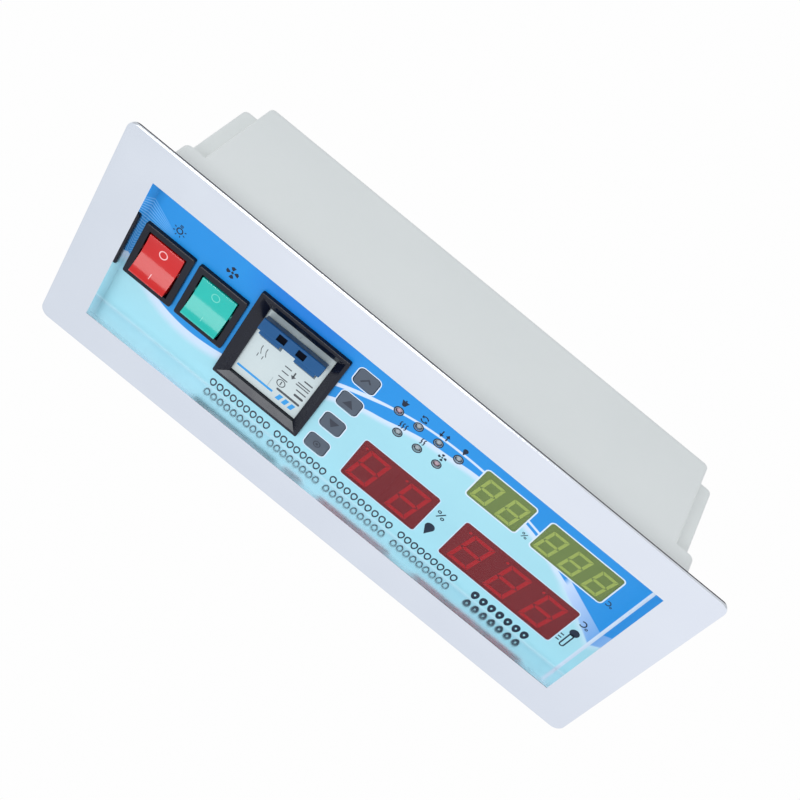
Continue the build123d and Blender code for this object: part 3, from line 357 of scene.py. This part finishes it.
FINISHES = {
    "chrome": chrome(),
    "printed_film": printed_film(),
    "red_filter": tinted("red_window_film", srgb(144, 52, 58), srgb(154, 58, 64), 0.36),
    "green_filter": tinted("green_window_film", srgb(136, 160, 92), srgb(144, 168, 100), 0.36),
    "display_case": surface("module_face", srgb(56, 46, 44), srgb(66, 54, 50), relief=0.05, specular=0.2),
    "led_epoxy": lamp_epoxy(),
    "key_film": surface("key_film", srgb(66, 76, 88), srgb(78, 88, 100), patch=160.0,
                        roughness=(0.38, 0.5)),
    "black_abs": surface("black_moulding", srgb(7, 9, 20), srgb(13, 15, 29), patch=80.0,
                         roughness=(0.22, 0.3), relief=0.1, specular=0.34),
    "breaker_case": surface("breaker_case", srgb(188, 200, 200), srgb(198, 208, 207), patch=60.0,
                            roughness=(0.38, 0.48)),
    "lever_blue": surface("lever_blue", srgb(24, 76, 122), srgb(32, 84, 132), patch=120.0,
                          roughness=(0.3, 0.42), specular=0.15),
    "switch_green": surface("rocker_green", srgb(12, 172, 158), srgb(20, 180, 166), patch=90.0,
                            roughness=(0.26, 0.34), relief=0.04, coat=0.8, specular=0.1),
    "switch_red": surface("rocker_red", srgb(190, 18, 16), srgb(198, 24, 22), patch=90.0,
                          roughness=(0.26, 0.34), relief=0.04, coat=0.8, specular=0.1),
    "white_abs": surface("white_moulding", srgb(230, 233, 229), srgb(236, 238, 234), patch=22.0,
                         roughness=(0.42, 0.55), relief=0.18),
    "circuit_board": circuit_board(),
    "zinc_steel": surface("zinc_plating", (0.62, 0.63, 0.64, 1), (0.72, 0.72, 0.70, 1), patch=300.0,
                          grain=4000.0, roughness=(0.25, 0.4), metallic=1.0),
    "tinned_brass": surface("tinned_brass", (0.70, 0.68, 0.60, 1), (0.76, 0.72, 0.60, 1), patch=300.0,
                            roughness=(0.28, 0.42), metallic=1.0),
    "relay_blue": surface("relay_case", srgb(22, 66, 150), srgb(30, 78, 164), roughness=(0.3, 0.4)),
    "core_iron": laminated(),
    "bobbin_yellow": surface("bobbin_tape", srgb(206, 168, 48), srgb(220, 184, 66), patch=200.0),
    "capacitor_sleeve": surface("capacitor_sleeve", srgb(28, 34, 66), srgb(36, 44, 80), patch=150.0),
    "heatsink": surface("anodised_fins", (0.05, 0.05, 0.055, 1), (0.09, 0.09, 0.095, 1), patch=150.0,
                        roughness=(0.35, 0.5), metallic=0.6),
    "terminal_green": surface("terminal_green", srgb(22, 118, 68), srgb(32, 132, 80), patch=120.0),
    "cable_grey": ribbed_cable(),
    "rubber": surface("grommet_rubber", srgb(22, 22, 23), srgb(34, 34, 35), patch=200.0,
                      roughness=(0.6, 0.75), relief=0.3),
    "fuse_glass": surface("fuse_ceramic", srgb(206, 208, 204), srgb(226, 226, 220), patch=200.0,
                          roughness=(0.2, 0.3)),
}
INK_DARK = surface("ink_dark", srgb(14, 28, 46), srgb(24, 38, 58), patch=400.0, roughness=(0.4, 0.5),
                   specular=0.3)
INK_WHITE = surface("ink_white", srgb(200, 214, 228), srgb(212, 224, 236), patch=300.0,
                    roughness=(0.36, 0.46))
INK_PALE = surface("ink_pale", srgb(176, 206, 222), srgb(198, 222, 234), patch=300.0,
                   roughness=(0.36, 0.46))
SOCKET_SHADE = surface("socket_shade", srgb(6, 9, 18), srgb(10, 14, 26), roughness=(0.7, 0.8),
                       specular=0.05)
INK_GREY = surface("ink_grey", srgb(122, 132, 136), srgb(138, 146, 150), patch=300.0,
                   roughness=(0.36, 0.46))
INK_KEY = surface("ink_key", srgb(34, 40, 52), srgb(46, 52, 64), patch=400.0, roughness=(0.38, 0.5))
INK_LABEL = surface("ink_label", srgb(58, 62, 66), srgb(78, 82, 86), patch=500.0, roughness=(0.4, 0.5))
INK_BLUE = surface("ink_blue", srgb(36, 140, 208), srgb(52, 156, 220), patch=300.0, roughness=(0.4, 0.5))
RED_SEGMENTS = surface("red_segments", srgb(238, 34, 36), srgb(246, 46, 46), patch=250.0, specular=0.2)
GREEN_SEGMENTS = surface("green_segments", srgb(232, 236, 120), srgb(238, 242, 130), patch=250.0,
                         specular=0.2)
PAINT_GREEN = surface("rocker_paint_green", srgb(92, 194, 178), srgb(106, 204, 188), patch=500.0)
PAINT_RED = surface("rocker_paint_red", srgb(236, 176, 176), srgb(242, 190, 190), patch=500.0)

for part in frame["record"]["subparts"]:
    node = frame["nodes"][part["node"]]
    for index in range(len(node.material_slots)):
        node.material_slots[index].material = FINISHES[part["material_slot"]]

# ---------------------------------------------------------------- outlines and thin solids


def disc(x, z, radius, count=28):
    angles = [2 * pi * i / count for i in range(count)]
    return [(x + radius * cos(a), z + radius * sin(a)) for a in angles]


def rounded(x, z, width, height, radius, steps=6):
    """Rectangle with round corners, anticlockwise seen from the front."""
    outline = []
    for quarter, (sx, sz) in enumerate(((1, 1), (-1, 1), (-1, -1), (1, -1))):
        for i in range(steps + 1):
            angle = (quarter + i / steps) * pi / 2
            outline.append((x + sx * (width / 2 - radius) + radius * cos(angle),
                            z + sz * (height / 2 - radius) + radius * sin(angle)))
    return outline


def bar(x0, z0, x1, z1, width):
    """Straight stroke from one point to another."""
    along = Vector((x1 - x0, z1 - z0)).normalized() * width / 2
    return [(x0 + along.y, z0 - along.x), (x1 + along.y, z1 - along.x),
            (x1 - along.y, z1 + along.x), (x0 - along.y, z0 + along.x)]


def bow(x, z, radius, start, end, width, count):
    """Curved stroke about (x, z) between two angles in degrees."""
    angles = [radians(start + (end - start) * i / count) for i in range(count + 1)]
    outer = [(x + (radius + width / 2) * cos(a), z + (radius + width / 2) * sin(a)) for a in angles]
    inner = [(x + (radius - width / 2) * cos(a), z + (radius - width / 2) * sin(a)) for a in angles]
    return outer + inner[::-1]


def flat_at(depth):
    """Places (across, up, lift) on a plane that faces the operator at this depth."""
    def place(x, z, lift):
        return Vector((x, depth - lift, z)) * MM
    return place


class Prints:
    """Thin closed solids on one surface that become one piece."""

    def __init__(self, place):
        self.mesh = bmesh.new()
        self.place = place

    def loop(self, outline, lift):
        return [self.mesh.verts.new(self.place(x, z, lift)) for x, z in outline]

    def wall(self, near, far):
        for i in range(len(near)):
            j = (i + 1) % len(near)
            self.mesh.faces.new((near[i], far[i], far[j], near[j]))

    def fill(self, *outlines):
        for outline in outlines:
            near, far = self.loop(outline, INK), self.loop(outline, -BED)
            self.mesh.faces.new(near)
            self.mesh.faces.new(far[::-1])
            self.wall(near, far)

    def ring(self, outer, inner):
        """Band between two outlines that have as many points as each other."""
        loops = [self.loop(outline, lift) for lift in (INK, -BED) for outline in (outer, inner)]
        self.wall(loops[0], loops[2])
        self.wall(loops[3], loops[1])
        self.wall(loops[1], loops[0])
        self.wall(loops[2], loops[3])

    def make(self, name, body, slot, material):
        bmesh.ops.recalc_face_normals(self.mesh, faces=self.mesh.faces)
        data = bpy.data.meshes.new(name)
        self.mesh.to_mesh(data)
        self.mesh.free()
        data.materials.append(material)
        piece = bpy.data.objects.new(name, data)
        bpy.context.scene.collection.objects.link(piece)
        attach(piece, body)


# ---------------------------------------------------------------- digits


def digit(prints, x, z, height, width, stroke, slant, point):
    """Seven mitred segments, leaning to the right, and a round decimal point."""
    across, up, gap = width / 2, height / 2, stroke * 0.12

    def segment(outline, side=1, way=1):
        prints.fill([(x + side * dx + slant * way * dz, z + way * dz) for dx, dz in outline])

    crossbar = [(across - stroke / 2 - gap, 0), (across - stroke - gap, stroke / 2),
                (stroke + gap - across, stroke / 2), (stroke / 2 + gap - across, 0),
                (stroke + gap - across, -stroke / 2), (across - stroke - gap, -stroke / 2)]
    segment(crossbar)
    for way in (-1, 1):
        segment([(gap - across, up), (across - gap, up), (across - stroke - gap, up - stroke),
                 (stroke + gap - across, up - stroke)], way=way)
        for side in (-1, 1):
            segment([(across, up - gap), (across, gap), (across - stroke, stroke / 2 + gap),
                     (across - stroke, up - stroke - gap)], side, way)
    if point:
        segment(disc(across + stroke * 0.9, stroke * 0.4 - up, stroke * 0.36, 16))


# The camera looks up through the windows, so a digit shows lower in its window than it is, and
# both rows sit a little high. Each display is its name, the place of its digits, style and paint.
RED_STYLE = {"z": 19.7, "height": 20.4, "width": 11.6, "stroke": 2.0, "slant": 0.15, "point": True}
GREEN_STYLE = {"z": -14.25, "height": 14.2, "width": 8.4, "stroke": 1.5, "slant": 0.14, "point": False}
DIGITS = (("temperature", (-106.6, -86.4, -65.9), RED_STYLE, RED_SEGMENTS),
          ("humidity", (-30.4, -8.2), RED_STYLE, RED_SEGMENTS),
          ("temperature_set", (-112.8, -99.7, -86.7), GREEN_STYLE, GREEN_SEGMENTS),
          ("humidity_set", (-65.6, -52.3), GREEN_STYLE, GREEN_SEGMENTS))
for name, places, style, paint in DIGITS:
    segments = Prints(flat_at(MODULE_FRONT))
    for x in places:
        digit(segments, x, **style)
    segments.make(f"{name}_segments", "controller", "led_epoxy", paint)

# ---------------------------------------------------------------- print on the panel
film = flat_at(FILM_FRONT)
# windows as centre x, centre z, width and height, and lamps as x and z
RED_WINDOWS = ((-86.4, 18.15, 63.0, 25.7), (-19.85, 18.15, 41.3, 25.7))
GREEN_WINDOWS = ((-99.6, -16.05, 38.8, 18.5), (-58.85, -16.05, 26.5, 18.5))
LAMPS = [(x, -9.2) for x in (-28.25, -17.75, -7.15)]
LAMPS += [(x, -19.1) for x in (-33.7, -23.0, -12.35, -1.85)]
WINDOW_CORNER = 1.5
KEY_NODES = ("set_key", "up_key", "down_key", "confirm_key")
KEY_SIZE = (10.6, 9.2)
KEY_CORNER = 2.0
# gap and thickness of the lines round the openings
GREEN_LINE = (0.02, 0.65)
RED_LINE = (0.02, 0.5)
KEY_LINE = (0.32, 0.5)
# outer and inner radius of what is printed round a lamp
LAMP_RING = (2.42, 1.92)
LAMP_SEAT = (1.9, 1.66)


def frame_line(prints, x, z, width, height, corner, gap, thickness):
    """Outline printed round an opening."""
    outer, inner = gap + thickness, gap
    prints.ring(rounded(x, z, width + 2 * outer, height + 2 * outer, corner + outer),
                rounded(x, z, width + 2 * inner, height + 2 * inner, corner + inner))


outlines = Prints(film)
for x, z, width, height in GREEN_WINDOWS:
    frame_line(outlines, x, z, width, height, WINDOW_CORNER, *GREEN_LINE)
for name in KEY_NODES:
    spot = middle(name)
    frame_line(outlines, spot.x, spot.z, *KEY_SIZE, KEY_CORNER, *KEY_LINE)
outlines.make("white_outlines", "controller", "printed_film", INK_WHITE)

borders = Prints(film)
for x, z, width, height in RED_WINDOWS:
    frame_line(borders, x, z, width, height, WINDOW_CORNER, *RED_LINE)
borders.make("red_window_outlines", "controller", "printed_film", INK_PALE)

rings, seats = Prints(film), Prints(film)
for x, z in LAMPS:
    rings.ring(*[disc(x, z, radius) for radius in LAMP_RING])
    seats.ring(*[disc(x, z, radius) for radius in LAMP_SEAT])
rings.make("lamp_rings", "controller", "printed_film", INK_DARK)
seats.make("lamp_seats", "controller", "printed_film", INK_GREY)


def thermometer(prints, x, z, size):
    """Bulb, stem and three tick marks."""
    bulb = size * 0.17
    prints.fill(disc(x, z - size / 2 + bulb, bulb))
    prints.ring(rounded(x, z + size * 0.12, size * 0.2, size * 0.72, size * 0.099),
                rounded(x, z + size * 0.12, size * 0.1, size * 0.62, size * 0.049))
    for i in range(3):
        level = z + size * (0.02 + 0.15 * i)
        prints.fill(bar(x + size * 0.17, level, x + size * 0.3, level, size * 0.05))


def drop(prints, x, z, size):
    """Water drop."""
    radius = size * 0.3
    base = z - size / 2 + radius
    outline = [(x + radius * cos(radians(a)), base + radius * sin(radians(a))) for a in range(-200, 21, 10)]
    prints.fill([*outline, (x, z + size / 2)])


def degree(prints, x, z, size):
    """Degree Celsius."""
    prints.ring(disc(x - size * 0.42, z + size * 0.34, size * 0.17, 16),
                disc(x - size * 0.42, z + size * 0.34, size * 0.08, 16))
    prints.fill(bow(x + size * 0.2, z, size * 0.36, 50, 310, size * 0.15, 16))


def percent(prints, x, z, size):
    prints.fill(bar(x - size * 0.3, z - size * 0.45, x + size * 0.3, z + size * 0.45, size * 0.12))
    for side in (-1, 1):
        spot = (x + side * size * 0.3, z - side * size * 0.27)
        prints.ring(disc(*spot, size * 0.2, 16), disc(*spot, size * 0.09, 16))


def fan(prints, x, z, size):
    """Hub and four broad, curved blades."""
    prints.fill(disc(x, z, size * 0.1, 16))
    for start in range(0, 360, 90):
        spots = [(0.14, 10), (0.3, -12), (0.48, -14), (0.5, 12), (0.44, 34), (0.26, 34)]
        prints.fill([(x + size * r * cos(radians(start + a)), z + size * r * sin(radians(start + a)))
                     for r, a in spots])


def heat(prints, x, z, size, waves):
    """Rising warm air: upright S strokes."""
    for i in range(waves):
        left = x + size * 0.34 * (i - (waves - 1) / 2)
        radius = size * 0.22
        prints.fill(bow(left + radius * 0.6, z + radius, radius, 110, 250, size * 0.11, 8),
                    bow(left - radius * 0.9, z - radius * 0.9, radius, -70, 70, size * 0.11, 8))


def arrow(prints, x, z, size, way):
    """Short arrow that points up or down."""
    tip = z + way * size / 2
    prints.fill(bar(x, z - way * size / 2, x, z + way * size * 0.12, size * 0.16))
    wings = [(x - size * 0.3, z + way * size * 0.05), (x + size * 0.3, z + way * size * 0.05), (x, tip)]
    prints.fill(wings if way > 0 else wings[::-1])


def egg(prints, x, z, size, thickness):
    """Outline of an egg, broad end down."""
    def shell(scale):
        return [(x + size * 0.34 * scale * cos(a) * (1 - 0.16 * sin(a)), z + size * 0.5 * scale * sin(a))
                for a in [2 * pi * i / 36 for i in range(36)]]
    prints.ring(shell(1.0), shell(1.0 - 2 * thickness / size))


def turning(prints, x, z, size):
    """Two chasing arrows, for the tray that turns."""
    for start in (20, 200):
        prints.fill(bow(x, z, size * 0.36, start, start + 115, size * 0.13, 8))
        tip = radians(start + 150)
        base = radians(start + 112)
        prints.fill([(x + size * 0.56 * cos(base), z + size * 0.56 * sin(base)),
                     (x + size * 0.38 * cos(tip), z + size * 0.38 * sin(tip)),
                     (x + size * 0.16 * cos(base), z + size * 0.16 * sin(base))])


def bell(prints, x, z, size):
    dome = [(x + size * 0.28 * cos(radians(a)), z + size * 0.1 + size * 0.34 * sin(radians(a)))
            for a in range(0, 181, 15)]
    prints.fill([(x - size * 0.44, z - size * 0.3), (x + size * 0.44, z - size * 0.3), *dome])
    prints.fill(disc(x, z - size * 0.4, size * 0.09, 12))


def bulb(prints, x, z, size):
    """Lamp with its screw base and short rays."""
    prints.ring(disc(x, z + size * 0.08, size * 0.26), disc(x, z + size * 0.08, size * 0.17))
    for i in range(2):
        level = z - size * (0.27 + 0.12 * i)
        prints.fill(bar(x - size * 0.12, level, x + size * 0.12, level, size * 0.07))
    for angle in range(-20, 201, 44):
        a = radians(angle)
        prints.fill(bar(x + size * 0.36 * cos(a), z + size * (0.08 + 0.36 * sin(a)),
                        x + size * 0.5 * cos(a), z + size * (0.08 + 0.5 * sin(a)), size * 0.07))


marks = Prints(film)
# head line: rows of little eggs in five groups, as first and last x, count, size and thickness
HEAD_EGGS = ((-109.2, -81.0, 7, 5.4, 2.0), (-68.6, -38.4, 9, 4.8, 0.95), (-31.4, 0.6, 9, 4.8, 0.95),
             (6.6, 32.6, 8, 4.8, 0.95), (38.8, 69.0, 9, 4.8, 0.95))
HEAD_LEVEL = 37.8
for first, last, count, size, thickness in HEAD_EGGS:
    for i in range(count):
        egg(marks, first + (last - first) * i / (count - 1), HEAD_LEVEL, size, thickness)
# signs beside the windows, under the lamps and under the rockers, by middle and size
thermometer(marks, -122.9, 21.5, 14.0)
degree(marks, -122.9, 9.2, 4.4)
drop(marks, -45.0, 24.0, 8.0)
percent(marks, -45.0, 12.6, 4.8)
degree(marks, -122.2, -9.6, 3.4)
percent(marks, -76.0, -9.4, 3.2)
fan(marks, -28.25, -14.2, 4.2)
heat(marks, -17.75, -14.2, 4.2, 2)
heat(marks, -7.15, -14.2, 4.2, 3)
drop(marks, -33.7, -24.4, 4.0)
arrow(marks, -24.5, -24.4, 3.8, -1)
arrow(marks, -21.5, -24.4, 3.8, 1)
turning(marks, -12.35, -24.4, 4.4)
bell(marks, -1.85, -24.4, 4.0)
fan(marks, 87.3, -20.0, 6.2)
bulb(marks, 115.0, -20.0, 6.4)
marks.make("panel_marks", "controller", "printed_film", INK_DARK)

# ---------------------------------------------------------------- marks on the keys


def key_prints(name):
    return Prints(flat_at(KEY_FRONT)), middle(name)


for name, way in (("up_key", 1), ("down_key", -1)):
    prints, spot = key_prints(name)
    base, tip = spot.z - way * 2.0, spot.z + way * 2.0
    triangle = [(spot.x - 2.7, base), (spot.x + 2.7, base), (spot.x, tip)]
    prints.fill(triangle if way > 0 else triangle[::-1])
    prints.make(f"{name}_mark", name, "key_film", INK_KEY)
prints, spot = key_prints("set_key")
prints.ring(disc(spot.x, spot.z, 1.9), disc(spot.x, spot.z, 1.35))
prints.fill(disc(spot.x, spot.z, 0.7))
prints.make("set_key_mark", "set_key", "key_film", INK_KEY)
prints, spot = key_prints("confirm_key")
prints.fill([(spot.x - 2.3, spot.z - 0.1), (spot.x - 0.5, spot.z - 1.9), (spot.x + 2.5, spot.z + 1.6),
             (spot.x + 1.9, spot.z + 2.2), (spot.x - 0.5, spot.z - 0.7), (spot.x - 1.7, spot.z + 0.5)])
prints.make("confirm_key_mark", "confirm_key", "key_film", INK_KEY)

# ---------------------------------------------------------------- label on the breaker
nose = flat_at(NOSE_FRONT)
blue_label = Prints(nose)
blue_label.fill(rounded(55.4, 20.9, 19.6, 1.3, 0.3))
for i in range(3):
    x = 33.4 + 3.4 * i
    blue_label.fill([(x, 19.4), (x + 2.1, 19.4), (x + 3.1, 22.9), (x + 1.0, 22.9)])
blue_label.make("breaker_label_rule", "controller", "breaker_case", INK_BLUE)

label = Prints(nose)
# plain rules where the rating print is, as x, length, z and thickness
LABEL_RULES = ((32.4, 12.6, 17.6, 1.3), (32.4, 5.0, 13.9, 1.3), (32.4, 5.4, 10.9, 0.7),
               (42.6, 5.0, 10.9, 0.6), (32.4, 7.0, 8.2, 0.6), (32.4, 6.6, 6.7, 0.6),
               (32.4, 4.6, 4.0, 0.8), (43.8, 3.8, 7.4, 0.6), (43.8, 3.8, 4.0, 0.6))
for x, length, z, thickness in LABEL_RULES:
    label.fill(rounded(x + length / 2, z, length, thickness, thickness * 0.45, 3))
label.ring(disc(44.6, 13.8, 2.2), disc(44.6, 13.8, 1.75))
label.fill(bar(44.6, 12.6, 44.6, 15.0, 0.5))
arrow(label, 41.9, 5.6, 4.4, 1)
POLES = (57.5, 60.1)            # where the contact sign of each pole stands
for x in POLES:
    label.fill(bar(x, 2.8, x, 5.0, 0.35), bar(x, 5.0, x - 1.0, 7.6, 0.35), bar(x, 7.9, x, 10.0, 0.35))
label.make("breaker_label_marks", "controller", "breaker_case", INK_LABEL)

# ---------------------------------------------------------------- painted shade: dark plates in the lever's sockets
LEVER_TILT = radians(28)        # the handle hangs this far below level when off
SOCKET_REACH = 16.7             # from the lever's pivot to the painted shade plate in each socket
SOCKET_OFFSET = 5.09            # from the breaker's middle to each socket
SOCKET_FLOOR = (4.38, 2.98)     # width and height of a socket's floor
LEVER_PIVOT = Vector(JOINTS["breaker_lever_swing"]["pos_m"]) / MM
BREAKER_X = middle("breaker_body").x


def lever_end(x, up, lift):
    """Places (across, up, lift) square to the handle, at the depth of its sockets' floors."""
    outwards = Vector((0, -cos(LEVER_TILT), -sin(LEVER_TILT)))
    upwards = Vector((0, -sin(LEVER_TILT), cos(LEVER_TILT)))
    spot = LEVER_PIVOT + outwards * (SOCKET_REACH + lift) + upwards * up
    return Vector((x, spot.y, spot.z)) * MM


# painted shade: a thin dark plate at the floor of each socket
sockets = Prints(lever_end)
for side in (-1, 1):
    x = BREAKER_X + side * SOCKET_OFFSET
    sockets.fill(rounded(x, 0, *SOCKET_FLOOR, 0.05, 1))
sockets.make("lever_socket_painted_shade", "breaker_lever", "lever_blue", SOCKET_SHADE)

# ---------------------------------------------------------------- paint on the rockers
ROCKER_TIP = (10.55, 6.64)      # half height and reach of the rocker's ends from its pivot
ROCKER_HOLLOW = 2.1             # how much lower the middle of its face is
ROCKER_TILT = radians(12)       # how far the face looks down at rest
FACE_R = (ROCKER_TIP[0] ** 2 + ROCKER_HOLLOW ** 2) / (2 * ROCKER_HOLLOW)    # radius of the hollow


def rocker_face(name):
    """Places (across, along, lift) on a rocker's hollow face."""
    pivot = Vector(JOINTS[f"{name}_tilt"]["pos_m"]) / MM
    outwards = Vector((0, -cos(ROCKER_TILT), -sin(ROCKER_TILT)))
    upwards = Vector((0, -sin(ROCKER_TILT), cos(ROCKER_TILT)))

    def place(x, along, lift):
        reach = ROCKER_TIP[1] - ROCKER_HOLLOW + FACE_R - sqrt(FACE_R ** 2 - along ** 2)
        spot = pivot + outwards * (reach + lift) + upwards * along
        return (spot + Vector((x, 0, 0))) * MM
    return place


MARK_PLACE = 5.6                # from the middle of the face down to the ring and up to the line
STEP = 0.5                      # the line follows the hollow in five steps
for name, slot, paint in (("fan_rocker", "switch_green", PAINT_GREEN),
                          ("light_rocker", "switch_red", PAINT_RED)):
    prints = Prints(rocker_face(name))
    prints.ring(disc(0, -MARK_PLACE, 2.15), disc(0, -MARK_PLACE, 1.65))
    prints.fill(*[rounded(0, MARK_PLACE + STEP * i, 0.36, STEP, 0.05, 1) for i in range(5)])
    prints.make(f"{name}_marks", name, slot, paint)

# ---------------------------------------------------------------- floor, light and camera, in metres
FLOOR_LEVEL = -0.75
FLOOR_REACH = 6.0
floor_mesh = bmesh.new()
bmesh.ops.create_grid(floor_mesh, x_segments=8, y_segments=8, size=FLOOR_REACH)
floor_data = bpy.data.meshes.new("studio_floor")
floor_mesh.to_mesh(floor_data)
floor_mesh.free()
floor = bpy.data.objects.new("studio_floor", floor_data)
floor.location = (0, 0, FLOOR_LEVEL)
bpy.context.scene.collection.objects.link(floor)
floor_data.materials.append(surface("floor_paper", (0.62, 0.63, 0.64, 1), (0.65, 0.66, 0.67, 1), patch=3.0,
                                    grain=200.0, roughness=(0.7, 0.8)))


def soft_light(name, place, aim, size, radiance, color):
    """Rectangular soft light of a given brightness, not seen by the camera itself."""
    data = bpy.data.lights.new(name, "AREA")
    data.shape = "RECTANGLE"
    data.size, data.size_y = size
    data.energy = radiance * pi * size[0] * size[1]
    data.color = color
    light = bpy.data.objects.new(name, data)
    light.location = place
    light.rotation_euler = (Vector(aim) - Vector(place)).to_track_quat("-Z", "Y").to_euler()
    light.visible_camera = False
    bpy.context.scene.collection.objects.link(light)


# by place, aim, size, radiance and colour
ORIGIN = (0, 0, 0)
soft_light("front_soft", (0.3, -1.6, 0.16), ORIGIN, (0.8, 0.8), 3.6, (1.0, 0.99, 0.98))
soft_light("low_soft", (0.1, -0.70, -0.55), ORIGIN, (0.42, 0.26), 8.6, (0.93, 0.96, 1.0))

world = bpy.data.worlds.new("studio")
bpy.context.scene.world = world
world.use_nodes = True
sky = world.node_tree
direction = sky.nodes.new("ShaderNodeTexCoord")
split = sky.nodes.new("ShaderNodeSeparateXYZ")
sky.links.new(direction.outputs["Generated"], split.inputs[0])


def world_mix(axis, start, end, first, second):
    """Blends two colours as the direction's part along an axis goes from start to end."""
    share = sky.nodes.new("ShaderNodeMapRange")
    share.interpolation_type = "SMOOTHSTEP"
    share.inputs["From Min"].default_value = start
    share.inputs["From Max"].default_value = end
    sky.links.new(split.outputs[axis], share.inputs["Value"])
    blend = sky.nodes.new("ShaderNodeMix")
    blend.data_type = "RGBA"
    sky.links.new(share.outputs["Result"], blend.inputs[0])
    for socket, color in ((blend.inputs[6], first), (blend.inputs[7], second)):
        if isinstance(color, tuple):
            socket.default_value = color
        else:
            sky.links.new(color, socket)
    return blend.outputs[2]


# cool grey room in front, a little darker overhead, and a white wall behind
front = world_mix("Z", 0.62, 0.80, (0.86, 0.89, 0.97, 1), (0.74, 0.78, 0.86, 1))
side = world_mix("X", 0.06, 0.30, front, (0.74, 0.78, 0.85, 1))
wall = world_mix("Y", -0.2, 0.4, side, (0.99, 0.99, 0.99, 1))
sky.links.new(wall, sky.nodes["Background"].inputs["Color"])

# the camera is below the panel and turned far over: its place, and where its right and back point
LENS = 56.96
CAMERA_PLACE = (0.01082, -0.37826, -0.37142)
CAMERA_RIGHT = (-0.77405, 0.41107, -0.48153)
CAMERA_BACK = (0.01932, -0.74487, -0.66693)
camera_data = bpy.data.cameras.new("camera")
camera_data.lens = LENS
camera_data.sensor_width = 36.0
camera_data.clip_start = 0.01
camera = bpy.data.objects.new("camera", camera_data)
bpy.context.scene.collection.objects.link(camera)
right = Vector(CAMERA_RIGHT).normalized()
back = Vector(CAMERA_BACK).normalized()
upward = back.cross(right).normalized()
right = upward.cross(back)
turned = Matrix((right, upward, back)).transposed().to_4x4()
camera.matrix_world = Matrix.Translation(CAMERA_PLACE) @ turned
bpy.context.scene.camera = camera
bpy.context.scene.view_settings.view_transform = "Standard"
